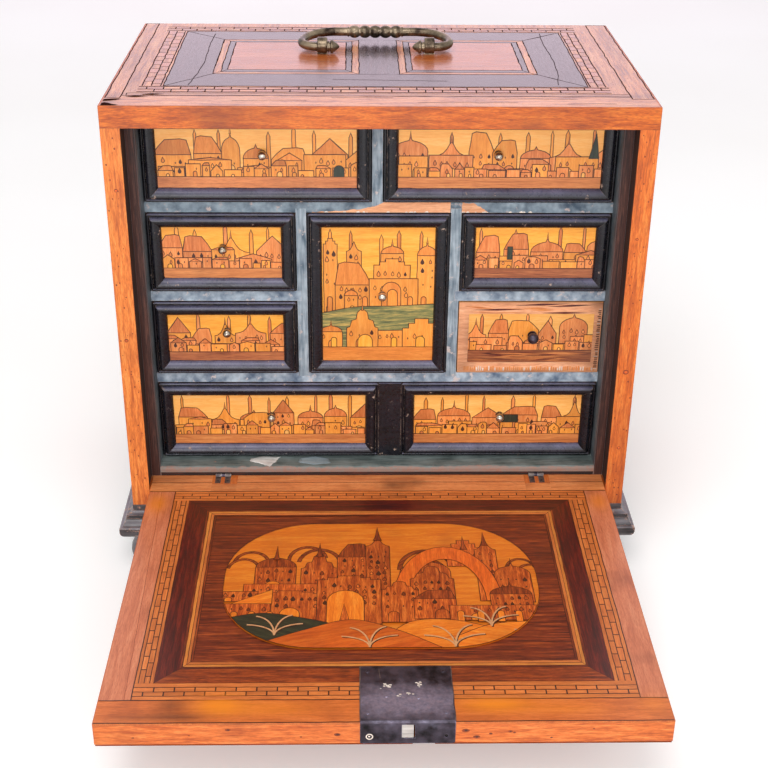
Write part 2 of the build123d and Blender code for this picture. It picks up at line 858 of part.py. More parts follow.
def quarter_bend(start, corner, end):
    """Draw the quarter circle between two points whose tangents meet at the corner."""
    middle = tuple(
        meeting + (1 - sqrt(0.5)) * (first + last - 2 * meeting)
        for first, meeting, last in zip(start, corner, end)
    )
    ThreePointArc(start, middle, end)


with BuildPart() as bail:
    with BuildLine(bail_plane):
        Line((-acorn_base_x, 0), (-elbow_x, 0))
        quarter_bend((-elbow_x, 0), (-bail_half_width, 0), (-bail_half_width, bail_elbow))
        left_corner = (-bail_half_width, bail_reach)
        quarter_bend((-bail_half_width, bail_elbow), left_corner, (-shoulder_x, bail_reach))
        Line((-shoulder_x, bail_reach), (shoulder_x, bail_reach))
        right_corner = (bail_half_width, bail_reach)
        quarter_bend((shoulder_x, bail_reach), right_corner, (bail_half_width, bail_elbow))
        quarter_bend((bail_half_width, bail_elbow), (bail_half_width, 0), (elbow_x, 0))
        Line((elbow_x, 0), (acorn_base_x, 0))
    arm_start = bail_plane.from_local_coords((-acorn_base_x, 0, 0))
    with BuildSketch(Plane(origin=arm_start, x_dir=bail_plane.z_dir, z_dir=(-1, 0, 0))):
        Circle(bail_radius)
    sweep()

    # Beads along the grip, with a thin ring at each end of the row.
    grip_axis = Axis(bail_plane.from_local_coords((0, bail_reach, 0)), (1, 0, 0))
    row_end = bead_count * bead_pitch / 2 + ring_length / 2
    row_start = -(bead_count - 1) / 2 * bead_pitch
    turned = [(row_start + index * bead_pitch, bead_length, bead_radius) for index in range(bead_count)]
    turned += [(-row_end, ring_length, ring_radius), (row_end, ring_length, ring_radius)]
    for centre, length, radius in turned:
        low = centre - length / 2
        high = centre + length / 2
        with BuildSketch(bail_plane):
            with BuildLine():
                edge = bail_reach + bail_radius + bead_edge
                Polyline((low, edge), (low, bail_reach), (high, bail_reach), (high, edge))
                ThreePointArc((high, edge), (centre, bail_reach + radius), (low, edge))
            make_face()
        revolve(axis=grip_axis)
    # An acorn finial on each inner end: a collar, a neck, then the cup and its pointed nut.
    pivot_axis = Axis(bail_plane.origin, (1, 0, 0))
    collar_end = acorn_base_x - acorn_collar
    cup_start = collar_end - acorn_neck
    cup_end = cup_start - acorn_cup
    for side in (-1, 1):
        with BuildSketch(bail_plane):
            with BuildLine():
                Polyline(
                    (side * acorn_base_x, 0),
                    (side * acorn_base_x, acorn_rim_radius),
                    (side * collar_end, acorn_rim_radius),
                    (side * collar_end, bail_radius),
                    (side * cup_start, bail_radius),
                    (side * cup_start, acorn_rim_radius),
                )
                ThreePointArc(
                    (side * cup_start, acorn_rim_radius),
                    (side * (cup_start + cup_end) / 2, acorn_radius),
                    (side * cup_end, acorn_rim_radius),
                )
                ThreePointArc(
                    (side * cup_end, acorn_rim_radius),
                    (side * (cup_end + acorn_tip_x) / 2, acorn_radius * acorn_fullness),
                    (side * acorn_tip_x, acorn_tip_radius),
                )
                Polyline(
                    (side * acorn_tip_x, acorn_tip_radius),
                    (side * acorn_tip_x, 0),
                    (side * acorn_base_x, 0),
                )
            make_face()
        revolve(axis=pivot_axis)
save(bail.part, "bail")

# ---------------------------------------------------------------- the drawers
quirk_end = 2 * frame_bead_radius + frame_quirk
bead_seat = frame_height - frame_crest - 2 * frame_bead_radius


def frame_stick(corner, along, inward, length):
    """One mitred stick of a drawer's moulding.

    A small bead runs round outside, then a quirk, then a long ovolo that falls to the panel. The corner is
    where the stick's outer edge starts, on the drawer's face.
    """
    end_corner = [place + direction * length for place, direction in zip(corner, along)]
    start_normal = [a - b for a, b in zip(along, inward)]
    end_normal = [-a - b for a, b in zip(along, inward)]
    with BuildPart() as stick:
        with BuildSketch(Plane(origin=corner, x_dir=inward, z_dir=along)):
            with BuildLine():
                Line((0, 0), (0, bead_seat))
                ThreePointArc(
                    (0, bead_seat),
                    (frame_bead_radius, bead_seat + frame_bead_radius),
                    (2 * frame_bead_radius, bead_seat),
                )
                Polyline(
                    (2 * frame_bead_radius, bead_seat),
                    (2 * frame_bead_radius, bead_seat - frame_quirk),
                    (quirk_end, bead_seat - frame_quirk),
                    (quirk_end, frame_height - frame_crest),
                )
                crest = RadiusArc(
                    (quirk_end, frame_height - frame_crest),
                    (quirk_end + frame_crest, frame_height),
                    frame_crest,
                )
                TangentArc(crest @ 1, (frame_width, frame_lip), tangent=(1, 0))
                Polyline((frame_width, frame_lip), (frame_width, 0), (0, 0))
            make_face()
        extrude(amount=length)
        split(bisect_by=Plane(origin=corner, z_dir=start_normal), keep=Keep.TOP)
        split(bisect_by=Plane(origin=end_corner, z_dir=end_normal), keep=Keep.TOP)
    return stick.part


def moulding_frame(x_limits, z_limits):
    """The four sticks of one moulding frame, anticlockwise from the lower left corner."""
    wide = x_limits[1] - x_limits[0]
    tall = z_limits[1] - z_limits[0]
    with BuildPart() as worn_outline:
        with BuildSketch(Plane.XZ.offset(-nest_y)):
            with Locations((sum(x_limits) / 2, sum(z_limits) / 2)):
                RectangleRounded(wide, tall, frame_corner)
        extrude(amount=frame_height)
    sticks = []
    for corner, along, inward, length in (
        ((x_limits[0], nest_y, z_limits[0]), (1, 0, 0), (0, 0, 1), wide),
        ((x_limits[1], nest_y, z_limits[0]), (0, 0, 1), (-1, 0, 0), tall),
        ((x_limits[1], nest_y, z_limits[1]), (-1, 0, 0), (0, 0, -1), wide),
        ((x_limits[0], nest_y, z_limits[1]), (0, 0, -1), (1, 0, 0), tall),
    ):
        with BuildPart() as stick:
            add(frame_stick(corner, along, inward, length))
            add(worn_outline.part, mode=Mode.INTERSECT)
        sticks.append(stick.part)
    return sticks


def drawer_box(x_limits, z_limits):
    """A drawer's two sides, back and bottom, behind its front."""
    front_back_y = nest_y + drawer_front_thickness
    end_y = panel_back_y - drawer_back_gap
    low_x, high_x = x_limits
    floor_z = z_limits[0] + drawer_bottom_thickness
    rim_z = z_limits[1] - drawer_rim_drop
    return [
        board(x_limits, (front_back_y, end_y), (z_limits[0], floor_z)),
        board((low_x, low_x + drawer_side_thickness), (front_back_y, end_y), (floor_z, rim_z)),
        board((high_x - drawer_side_thickness, high_x), (front_back_y, end_y), (floor_z, rim_z)),
        board(
            (low_x + drawer_side_thickness, high_x - drawer_side_thickness),
            (end_y - drawer_side_thickness, end_y),
            (floor_z, rim_z),
        ),
    ]


def turned_knob(place, radius):
    """A ball knob on a collar, with a pin that goes through the drawer's front."""
    ball_centre = knob_neck_length + sqrt(radius**2 - knob_pin_radius**2)
    seat = Plane(origin=(place[0], nest_y, place[1]), x_dir=(1, 0, 0), z_dir=(0, 0, -1))
    with BuildPart() as knob:
        with BuildSketch(seat):
            with BuildLine():
                Polyline(
                    (0, -drawer_front_thickness),
                    (knob_pin_radius, -drawer_front_thickness),
                    (knob_pin_radius, 0),
                    (radius * knob_collar_share, 0),
                    (radius * knob_collar_share, knob_collar_height),
                    (knob_pin_radius, knob_collar_height),
                    (knob_pin_radius, knob_neck_length),
                )
                ThreePointArc(
                    (knob_pin_radius, knob_neck_length),
                    (radius, ball_centre),
                    (0, ball_centre + radius),
                )
                Line((0, ball_centre + radius), (0, -drawer_front_thickness))
            make_face()
        revolve(axis=Axis(seat.origin, (0, -1, 0)))
    return knob.part


left_bay = (-half_nest, left_upright_x - half_upright)
middle_bay = (left_upright_x + half_upright, right_upright_x - half_upright)
right_bay = (right_upright_x + half_upright, half_nest)
lower_row = (lower_shelf_z, shelf_bottoms["middle"])
upper_row = (middle_shelf_z, shelf_bottoms["upper"])
top_row = (upper_shelf_z, soffit_z)

# Name, bay across, bay in height, where the knob's hole lies from the panel's middle, what is left of it.
drawers = [
    ("top_left", (-half_nest, top_upright_x - half_upright), top_row, (5.0, 4.6), "framed", knob_radius),
    ("top_right", (top_upright_x + half_upright, half_nest), top_row, (-2.0, 4.6), "framed", knob_radius),
    ("upper_left", left_bay, upper_row, (1.0, 5.0), "framed", knob_radius),
    ("upper_right", right_bay, upper_row, (-4.0, 4.4), "framed", None),
    ("lower_left", left_bay, lower_row, (1.3, 7.0), "framed", knob_radius),
    ("lower_right", right_bay, lower_row, (2.6, 2.3), "bare", iron_knob_radius),
    ("centre", middle_bay, (lower_shelf_z, shelf_bottoms["upper"]), (3.6, 1.0), "framed", knob_radius),
    ("bottom", (-half_nest, half_nest), (sill_z, shelf_bottoms["lower"]), (1.8, 4.6), "paired", knob_radius),
]

for name, bay_x, bay_z, knob_shift, dress, ball_radius in drawers:
    x_limits = (bay_x[0] + drawer_side_gap, bay_x[1] - drawer_side_gap)
    z_limits = (bay_z[0] + drawer_floor_gap, bay_z[1] - drawer_top_gap)
    panels = [x_limits]
    if dress == "paired":
        band_low = centre_band_x - centre_band_width / 2
        band_high = centre_band_x + centre_band_width / 2
        panels = [(x_limits[0], band_low), (band_high, x_limits[1])]
    knob_places = [
        (sum(panel) / 2 + knob_shift[0], sum(z_limits) / 2 + knob_shift[1]) for panel in panels
    ]

    with BuildPart() as front:
        add(board(x_limits, (nest_y, nest_y + drawer_front_thickness), z_limits))
        with BuildSketch(Plane.XZ.offset(-nest_y)):
            with Locations(*knob_places):
                Circle(knob_pin_radius + knob_pin_clearance)
        extrude(amount=-drawer_front_thickness, mode=Mode.SUBTRACT)
    save(front.part, f"front_{name}")
    save(Compound(children=drawer_box(x_limits, z_limits)), f"box_{name}")

    if dress != "bare":
        sticks = []
        for panel in panels:
            sticks += moulding_frame(panel, z_limits)
        if dress == "paired":
            sticks.append(board((band_low, band_high), (nest_y - band_thickness, nest_y), z_limits))
        save(Compound(children=sticks), f"moulding_{name}")

    if ball_radius is not None:
        knobs = [turned_knob(place, ball_radius) for place in knob_places]
        save(Compound(children=knobs), f"knob_{name}")
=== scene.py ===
"""Looks for a small fall-front marquetry cabinet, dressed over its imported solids.

All sizes in this file are millimetres in the part's own frame until they reach a mesh, a light or the
camera, where MM turns them to metres. Marquetry is laid as thin sheets of veneer pieces, each piece a
face of its own with its own grain direction and tone.
"""

import json
import logging
import math
import random
from dataclasses import dataclass, field
from enum import Enum
from functools import cache

import bmesh
import bpy
from mathutils import Matrix, Vector

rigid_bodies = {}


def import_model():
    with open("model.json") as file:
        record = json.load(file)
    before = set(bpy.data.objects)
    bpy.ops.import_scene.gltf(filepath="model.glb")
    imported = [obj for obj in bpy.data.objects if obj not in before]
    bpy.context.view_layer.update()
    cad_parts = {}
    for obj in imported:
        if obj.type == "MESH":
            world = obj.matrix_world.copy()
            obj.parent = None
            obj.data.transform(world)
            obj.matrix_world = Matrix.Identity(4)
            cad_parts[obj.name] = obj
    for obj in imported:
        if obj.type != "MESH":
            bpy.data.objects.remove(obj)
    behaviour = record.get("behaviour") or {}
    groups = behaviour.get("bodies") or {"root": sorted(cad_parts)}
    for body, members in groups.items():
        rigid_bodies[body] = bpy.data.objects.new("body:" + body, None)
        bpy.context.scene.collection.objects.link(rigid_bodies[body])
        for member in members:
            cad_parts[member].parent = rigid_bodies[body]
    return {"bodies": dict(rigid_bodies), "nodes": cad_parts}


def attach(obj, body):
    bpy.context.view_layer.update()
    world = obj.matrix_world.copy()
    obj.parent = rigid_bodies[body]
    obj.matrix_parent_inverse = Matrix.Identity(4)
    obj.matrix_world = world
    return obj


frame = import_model()

MM = 0.001
TINY = 1e-6
Point = tuple[float, float]
Outline = list[Point]
Place = tuple[float, float, float]
Box = tuple[float, float, float, float]
Tree = bpy.types.NodeTree
Socket = bpy.types.NodeSocket
Material = bpy.types.Material
log = logging.getLogger("cabinet")


# ---- small tools
def srgb(code: str) -> Box:
    """Turn an sRGB hex colour into the linear values that shaders take.

    Args:
        code: Six hex digits, such as "d88440".

    Returns:
        Linear red, green, blue, and 1 for alpha.
    """
    parts = [int(code[i : i + 2], 16) / 255 for i in (0, 2, 4)]
    linear = [c / 12.92 if c <= 0.04045 else ((c + 0.055) / 1.055) ** 2.4 for c in parts]
    return (linear[0], linear[1], linear[2], 1.0)


def add_node(
    tree: Tree, kind: str, inputs: dict | None = None, stops: list[tuple[float, str]] | None = None,
    **settings: object
) -> bpy.types.Node:
    """Add a shader node with its settings, its input values and its links.

    Args:
        tree: The material's node tree.
        kind: The node's type without the "ShaderNode" prefix.
        inputs: Input name or index to a value, or to the socket or node that feeds it.
        stops: A colour ramp's stops as (place, hex colour).
        settings: The node's own properties.

    Returns:
        The new node.
    """
    node = tree.nodes.new("ShaderNode" + kind)
    for name, value in settings.items():
        setattr(node, name, value)
    for key, value in (inputs or {}).items():
        value = value.outputs[0] if isinstance(value, bpy.types.Node) else value
        if isinstance(value, Socket):
            tree.links.new(value, node.inputs[key])
        else:
            node.inputs[key].default_value = value
    if stops:
        ramp = node.color_ramp.elements
        while len(ramp) < len(stops):
            ramp.new(0.5)
        for element, (place, colour) in zip(ramp, stops):
            element.position = place
            element.color = srgb(colour)
    return node


def fresh_tree(owner: Material | bpy.types.World) -> Tree:
    """Switch a material or world to nodes, and empty it.

    Args:
        owner: The material or world.

    Returns:
        Its empty node tree.
    """
    owner.use_nodes = True
    owner.node_tree.nodes.clear()
    return owner.node_tree


def place_in_mm(tree: Tree) -> bpy.types.Node:
    """Add the place on the part, in mm."""
    here = add_node(tree, "TexCoord").outputs["Object"]
    return add_node(tree, "VectorMath", {0: here, "Scale": 1 / MM}, operation="SCALE")


def close_skin(
    tree: Tree, height: bpy.types.Node, relief: float, uneven: bpy.types.Node, rough: Point, skin: dict
) -> None:
    """Add what ends a material: uneven roughness, a raised grain and the skin itself.

    Args:
        tree: The material's node tree.
        height: The grain's height.
        relief: Its depth in mm.
        uneven: The noise that varies the roughness.
        rough: Least and greatest roughness.
        skin: The rest of the shader's inputs.
    """
    limits = {"From Min": 0.3, "From Max": 0.7, "To Min": rough[0], "To Max": rough[1]}
    varied = add_node(tree, "MapRange", {"Value": uneven, **limits})
    bump = add_node(tree, "Bump", {"Height": height, "Distance": relief * MM, "Strength": 0.6})
    shader = add_node(tree, "BsdfPrincipled", {"Roughness": varied, "Normal": bump, **skin})
    add_node(tree, "OutputMaterial", {0: shader})


def rect(low_x: float, high_x: float, low_y: float, high_y: float) -> Outline:
    """Corners of an upright rectangle, anticlockwise."""
    return [(low_x, low_y), (high_x, low_y), (high_x, high_y), (low_x, high_y)]


def arc(centre: Point, radii: Point, start: float, end: float, count: int = 10) -> Outline:
    """Points along part of an ellipse.

    Args:
        centre: The ellipse's centre.
        radii: Its half width and half height.
        start: First angle in degrees.
        end: Last angle in degrees.
        count: How many steps the arc has.

    Returns:
        The points in order.
    """
    turns = [math.radians(start + (end - start) * i / count) for i in range(count + 1)]
    return [(centre[0] + radii[0] * math.cos(t), centre[1] + radii[1] * math.sin(t)) for t in turns]


def rounded(low_x: float, high_x: float, low_y: float, high_y: float, radius: float) -> Outline:
    """Outline of a rectangle with round corners, anticlockwise.

    Args:
        low_x: Its left side.
        high_x: Its right side.
        low_y: Its foot.
        high_y: Its head.
        radius: Radius of the corners.

    Returns:
        The points in order.
    """
    corners = [
        ((high_x - radius, low_y + radius), -90), ((high_x - radius, high_y - radius), 0),
        ((low_x + radius, high_y - radius), 90), ((low_x + radius, low_y + radius), 180)
    ]
    return [p for centre, start in corners for p in arc(centre, (radius, radius), start, start + 90, 12)]


def clipped(outline: Outline, bound: Outline) -> Outline:
    """Cut an outline down to what lies inside a convex one.

    Args:
        outline: The shape to cut.
        bound: A convex outline, anticlockwise.

    Returns:
        What is left, or an empty list.
    """
    kept = outline
    for index, start in enumerate(bound):
        end = bound[(index + 1) % len(bound)]
        run, kept, last = kept, [], kept[-1] if kept else None
        edge = (end[0] - start[0], end[1] - start[1])
        for point in run:
            now = edge[0] * (point[1] - start[1]) - edge[1] * (point[0] - start[0])
            before = edge[0] * (last[1] - start[1]) - edge[1] * (last[0] - start[0])
            if (now >= 0) != (before >= 0):
                share = before / (before - now)
                kept.append(tuple(a + share * (b - a) for a, b in zip(last, point)))
            if now >= 0:
                kept.append(point)
            last = point
    return kept


def new_object(name: str, mesh: bpy.types.Mesh, body: str) -> bpy.types.Object:
    """Link a mesh as a named piece that rides on a body.

    Args:
        name: The piece's name.
        mesh: Its mesh, in metres in the part's frame.
        body: The body it moves with.

    Returns:
        The new object.
    """
    piece = bpy.data.objects.new(name, mesh)
    bpy.context.scene.collection.objects.link(piece)
    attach(piece, body)
    log.info("%s rides on %s", name, body)
    return piece


# ---- finishes
FIBRE = 0.45  # width of one fibre, in mm
LINES = 4.3  # growth lines in one band
TONE_DEPTH = 61.0  # mm into the board for each step of a piece's tone
TONE_VALUE = 0.12  # how much brighter that step is
# How often marks of one kind come in a millimetre.
STAINS = 0.021  # old stains, about 48 mm apart
RUBS = 0.16  # rubbed places on an arris, about 6 mm apart
RAGS = 0.09  # the ragged rim of a rubbed place, about 11 mm apart
CLOUDS = 0.05  # clouds in a coat of paint, 20 mm apart
SPOTS = 0.12  # worn spots, about 8 mm apart
HAMMERED = 0.14  # the hammer's marks, about 7 mm apart
BRUSHED = (0.05, 0.45)  # the brush's marks, 20 mm long and 2.2 mm wide


class Grain(Enum):
    """Which way a wood's fibres run; SHEET takes it from each veneer piece."""

    X = (1, 0, 0)
    Y = (0, 1, 0)
    Z = (0, 0, 1)
    SHEET = (1, 0, 0, 0)


@dataclass(frozen=True)
class WoodFinish:
    """Polished or bare wood with growth bands, fibres, pores, blotches and worn edges.

    Attributes:
        name: Material name, after the wood and how it was finished.
        tones: Dark, middle and light hex colours of the growth bands.
        grain: Which way the fibres run.
        band: Width of the growth bands across the grain, in mm.
        stretch: How much longer the figure is along the grain.
        blotch: Hex colour and strength of old stains.
        wear: Hex colour and strength of the rubbed edges.
        roughness: Surface roughness of the polish.
        coat: Weight of the shellac or wax film.
        film: Roughness of that film.
        relief: Depth of the raised fibres, in mm.
        contrast: How far apart the bands' tones are.
        ior: How strongly the bare surface mirrors.
    """

    name: str
    tones: tuple[str, str, str]
    grain: Grain = Grain.SHEET
    band: float = 5.0
    stretch: float = 11.0
    blotch: tuple[str, float] = ("3a1a0c", 0.25)
    wear: tuple[str, float] = ("4a2410", 0.0)
    roughness: float = 0.36
    coat: float = 0.15
    film: float = 0.22
    relief: float = 0.05
    contrast: float = 1.0
    ior: float = 1.48

    def place(self, tree: Tree) -> tuple:
        """Add the coordinates, in mm.

        Args:
            tree: The material's node tree.

        Returns:
            The plain position, the position stretched along the grain, and the piece's tone.
        """
        tone = add_node(tree, "Attribute", attribute_name="tone").outputs["Fac"]
        if self.grain is Grain.SHEET:
            flat = add_node(tree, "UVMap", uv_map="grain").outputs[0]
            depth = add_node(tree, "Math", {0: tone, 1: TONE_DEPTH}, operation="MULTIPLY")
            lift = add_node(tree, "CombineXYZ", {2: depth})
            plain = add_node(tree, "VectorMath", {0: flat, 1: lift}, operation="ADD")
        else:
            plain = place_in_mm(tree)
        along = self.grain.value[:3]
        scale = tuple(1 / (self.band * (self.stretch if a else 1)) for a in along)
        fitted = add_node(tree, "VectorMath", {0: plain, 1: scale}, operation="MULTIPLY")
        return plain.outputs[0], fitted.outputs[0], tone

    def build(self) -> Material:
        """Make the material.

        Returns:
            The new material.
        """
        material = bpy.data.materials.new(self.name)
        tree = fresh_tree(material)
        plain, fitted, tone = self.place(tree)
        figure = add_node(tree, "TexNoise", {"Vector": fitted, "Scale": 1.0, "Detail": 5.0, "Distortion": 0.7})
        lines = add_node(
            tree, "TexNoise",
            {"Vector": fitted, "Scale": LINES, "Detail": 3.0, "Roughness": 0.7, "Distortion": 0.25}
        )
        fibres = add_node(tree, "TexNoise", {"Vector": fitted, "Scale": self.band / FIBRE, "Detail": 2.0})
        both = add_node(tree, "Mix", {0: 0.42, 2: figure, 3: lines}, data_type="FLOAT")
        spread = 0.2 / self.contrast
        ramp = add_node(
            tree, "ValToRGB", {0: both},
            stops=[(0.5 - spread, self.tones[0]), (0.5, self.tones[1]), (0.5 + spread, self.tones[2])]
        )
        pores = add_node(tree, "MapRange", {"Value": fibres, "From Min": 0.5, "From Max": 0.7, "To Max": 0.62})
        pored = add_node(tree, "Mix", {0: pores, 6: ramp, 7: srgb(self.tones[0])}, data_type="RGBA")
        patches = add_node(tree, "TexNoise", {"Vector": plain, "Scale": STAINS, "Detail": 4.0})
        patch = add_node(
            tree, "MapRange", {"Value": patches, "From Min": 0.5, "From Max": 0.72, "To Max": self.blotch[1]}
        )
        stained = add_node(tree, "Mix", {0: patch, 6: pored.outputs[2], 7: srgb(self.blotch[0])}, data_type="RGBA")
        value = add_node(tree, "Math", {0: tone, 1: TONE_VALUE, 2: 1.0}, operation="MULTIPLY_ADD")
        toned = add_node(tree, "HueSaturation", {"Value": value, "Color": stained.outputs[2]})
        colour = toned.outputs[0]
        # The sheet's soft marks: dark stains and amber, with painted shade in some corners and, in part, a painted
        # glare on the leaf's near rail.
        for mark, tint in (("amber", "f48a14"), ("darkening", "3a1408")) if self.grain is Grain.SHEET else ():
            share = add_node(tree, "Attribute", attribute_name=mark).outputs["Fac"]
            marked = add_node(tree, "Mix", {0: share, 6: colour, 7: srgb(tint)}, data_type="RGBA")
            colour = marked.outputs[2]
        if self.wear[1] > 0:
            edge = edge_mask(tree, plain, radius=1.3)
            share = add_node(tree, "Math", {0: edge, 1: self.wear[1]}, operation="MULTIPLY")
            worn = add_node(tree, "Mix", {0: share, 6: colour, 7: srgb(self.wear[0])}, data_type="RGBA")
            colour = worn.outputs[2]
        height = add_node(tree, "Math", {0: fibres, 1: lines}, operation="ADD")
        rough = (self.roughness - 0.06, self.roughness + 0.1)
        film = {"Base Color": colour, "IOR": self.ior, "Coat Weight": self.coat, "Coat Roughness": self.film}
        close_skin(tree, height, self.relief, lines, rough, film)
        return material


def edge_mask(tree: Tree, plain: Socket, radius: float) -> Socket:
    """A mask of the arrises, broken up as wear is.

    Args:
        tree: The material's node tree.
        plain: Position in mm.
        radius: How far from an edge the wear reaches, in mm.

    Returns:
        A socket from 0 on the flats to 1 on the edges.
    """
    soft = add_node(tree, "Bevel", {"Radius": radius * MM}, samples=4)
    sharp = add_node(tree, "NewGeometry")
    match = add_node(tree, "VectorMath", {0: soft, 1: sharp.outputs["Normal"]}, operation="DOT_PRODUCT")
    edge = add_node(tree, "MapRange", {"Value": match.outputs["Value"], "From Min": 0.985, "From Max": 0.8})
    rub = add_node(tree, "TexNoise", {"Vector": plain, "Scale": RUBS, "Detail": 5.0, "Roughness": 0.65})
    broken = add_node(tree, "MapRange", {"Value": rub, "From Min": 0.42, "From Max": 0.56})
    mask = add_node(tree, "Math", {0: edge, 1: broken}, operation="MULTIPLY")
    return mask.outputs[0]


@dataclass(frozen=True)
class CoatedFinish:
    """Paint or stain over wood or metal, chipped on its edges and worn through in places.

    Attributes:
        name: Material name.
        tones: Dark and light hex colours of the coat.
        bare: Hex colour where the coat is gone, and of the painted reflection in the box on the iron.
        chips: How much of the edges is chipped, from 0 to 1.
        patches: How much of the flats is worn through, from 0 to 1.
        streak: Direction of the brush marks or fibres.
        roughness: Roughness of the coat.
        metallic: 1 for metal.
        coat: Weight of a clear film.
        relief: Depth of the surface's unevenness, in mm.
        bare_and_sheen_box: A box in mm, low and high corners, inside which the coat takes the bare colour: rubbed
            away on the sill and linings, a painted reflection on the iron.
        box_soft: How gradually that box's mask ends.
        grit: Size of the finest marks, in mm.
        ior: How strongly the coat mirrors; 1.5 is plain varnish.
        even: The marks have no direction, as on forged or cast metal.
        sheen_and_dust: Hex colour and strength of what is laid on the surfaces that face upward: a painted sheen,
            with dust.
    """

    name: str
    tones: tuple[str, str]
    bare: str
    chips: float = 0.6
    patches: float = 0.1
    streak: Grain = Grain.X
    roughness: float = 0.4
    metallic: float = 0.0
    coat: float = 0.0
    relief: float = 0.08
    bare_and_sheen_box: tuple[Place, Place] | None = None
    box_soft: float = 0.15
    grit: float = 3.0
    ior: float = 1.5
    even: bool = False
    sheen_and_dust: tuple[str, float] = ("6a6880", 0.0)

    def bare_and_sheen_place(self, tree: Tree, plain: Socket) -> Socket:
        """A soft-edged mask of the box: the rubbed place on the sill and linings, the painted reflection on the
        iron.

        Args:
            tree: The material's node tree.
            plain: Position in mm.

        Returns:
            A socket that is 1 well inside the box.
        """
        low, high = self.bare_and_sheen_box
        centre = tuple((a + b) / 2 for a, b in zip(low, high))
        half = tuple((b - a) / 2 for a, b in zip(low, high))
        off = add_node(tree, "VectorMath", {0: plain, 1: centre}, operation="SUBTRACT")
        scaled = add_node(tree, "VectorMath", {0: off, 1: half}, operation="DIVIDE")
        size = add_node(tree, "VectorMath", {0: scaled}, operation="LENGTH")
        ragged = add_node(tree, "TexNoise", {"Vector": plain, "Scale": RAGS, "Detail": 5.0})
        reach = add_node(tree, "Math", {0: ragged, 1: size.outputs["Value"]}, operation="ADD")
        mask = add_node(tree, "MapRange", {"Value": reach, "From Min": 1.5, "From Max": 1.5 - self.box_soft})
        return mask.outputs[0]

    def add_sheen_and_dust(self, tree: Tree, colour: Socket, uneven: Socket) -> Socket:
        """Lay a painted sheen, with dust, on the surfaces that face upward.

        Args:
            tree: The material's node tree.
            colour: The coat's colour.
            uneven: A noise that breaks the sheen up.

        Returns:
            The colour with its sheen and dust.
        """
        facing = add_node(tree, "NewGeometry").outputs["Normal"]
        height = add_node(tree, "SeparateXYZ", {0: facing}).outputs[2]
        amount = add_node(
            tree, "MapRange", {"Value": height, "From Min": 0.05, "From Max": 0.75, "To Max": self.sheen_and_dust[1]}
        )
        broken = add_node(tree, "MapRange", {"Value": uneven, "From Min": 0.3, "From Max": 0.6, "To Min": 0.45})
        share = add_node(tree, "Math", {0: amount, 1: broken}, operation="MULTIPLY")
        mixed = add_node(tree, "Mix", {0: share, 6: colour, 7: srgb(self.sheen_and_dust[0])}, data_type="RGBA")
        return mixed.outputs[2]

    def build(self) -> Material:
        """Make the material.

        Returns:
            The new material.
        """
        material = bpy.data.materials.new(self.name)
        tree = fresh_tree(material)
        plain = place_in_mm(tree).outputs[0]
        scale = (HAMMERED,) * 3 if self.even else tuple(BRUSHED[0 if a else 1] for a in self.streak.value[:3])
        run = add_node(tree, "VectorMath", {0: plain, 1: scale}, operation="MULTIPLY").outputs[0]
        strokes = add_node(tree, "TexNoise", {"Vector": run, "Scale": 1.0, "Detail": 4.0})
        clouds = add_node(tree, "TexNoise", {"Vector": plain, "Scale": CLOUDS, "Detail": 5.0})
        grit = add_node(tree, "TexNoise", {"Vector": plain, "Scale": 1 / self.grit, "Detail": 4.0})
        mixed = add_node(tree, "Mix", {0: 0.5, 2: strokes, 3: clouds}, data_type="FLOAT")
        ramp = add_node(tree, "ValToRGB", {0: mixed}, stops=[(0.36, self.tones[0]), (0.62, self.tones[1])])
        edge = edge_mask(tree, plain, radius=0.9)
        chips = add_node(tree, "Math", {0: edge, 1: self.chips}, operation="MULTIPLY")
        spots = add_node(tree, "TexNoise", {"Vector": plain, "Scale": SPOTS, "Detail": 6.0, "Roughness": 0.7})
        worn = add_node(
            tree, "MapRange",
            {"Value": spots, "From Min": 0.74 - 0.3 * self.patches, "From Max": 0.8 - 0.3 * self.patches}
        )
        mask = add_node(tree, "Math", {0: chips, 1: worn}, operation="MAXIMUM").outputs[0]
        # Inside the box the coat takes the bare colour: rubbed bare on the sill and linings, a painted reflection
        # on the iron.
        if self.bare_and_sheen_box:
            gone = self.bare_and_sheen_place(tree, plain)
            mask = add_node(tree, "Math", {0: mask, 1: gone}, operation="MAXIMUM").outputs[0]
        under = add_node(tree, "Mix", {0: grit, 6: srgb(self.bare), 7: srgb(self.tones[1])}, data_type="RGBA")
        coated = ramp.outputs[0]
        # Painted sheen, with dust: what faces upward turns paler.
        if self.sheen_and_dust[1] > 0:
            coated = self.add_sheen_and_dust(tree, coated, clouds.outputs["Fac"])
        colour = add_node(tree, "Mix", {0: mask, 6: coated, 7: under.outputs[2]}, data_type="RGBA")
        raised = add_node(tree, "Math", {0: mask, 1: -1.5, 2: strokes}, operation="MULTIPLY_ADD")
        height = add_node(tree, "Math", {0: raised, 1: grit}, operation="ADD")
        rough = (self.roughness - 0.08, self.roughness + 0.14)
        film = {"Metallic": self.metallic, "IOR": self.ior, "Coat Weight": self.coat, "Coat Roughness": 0.18}
        close_skin(tree, height, self.relief, grit, rough, {"Base Color": colour.outputs[2], **film})
        return material


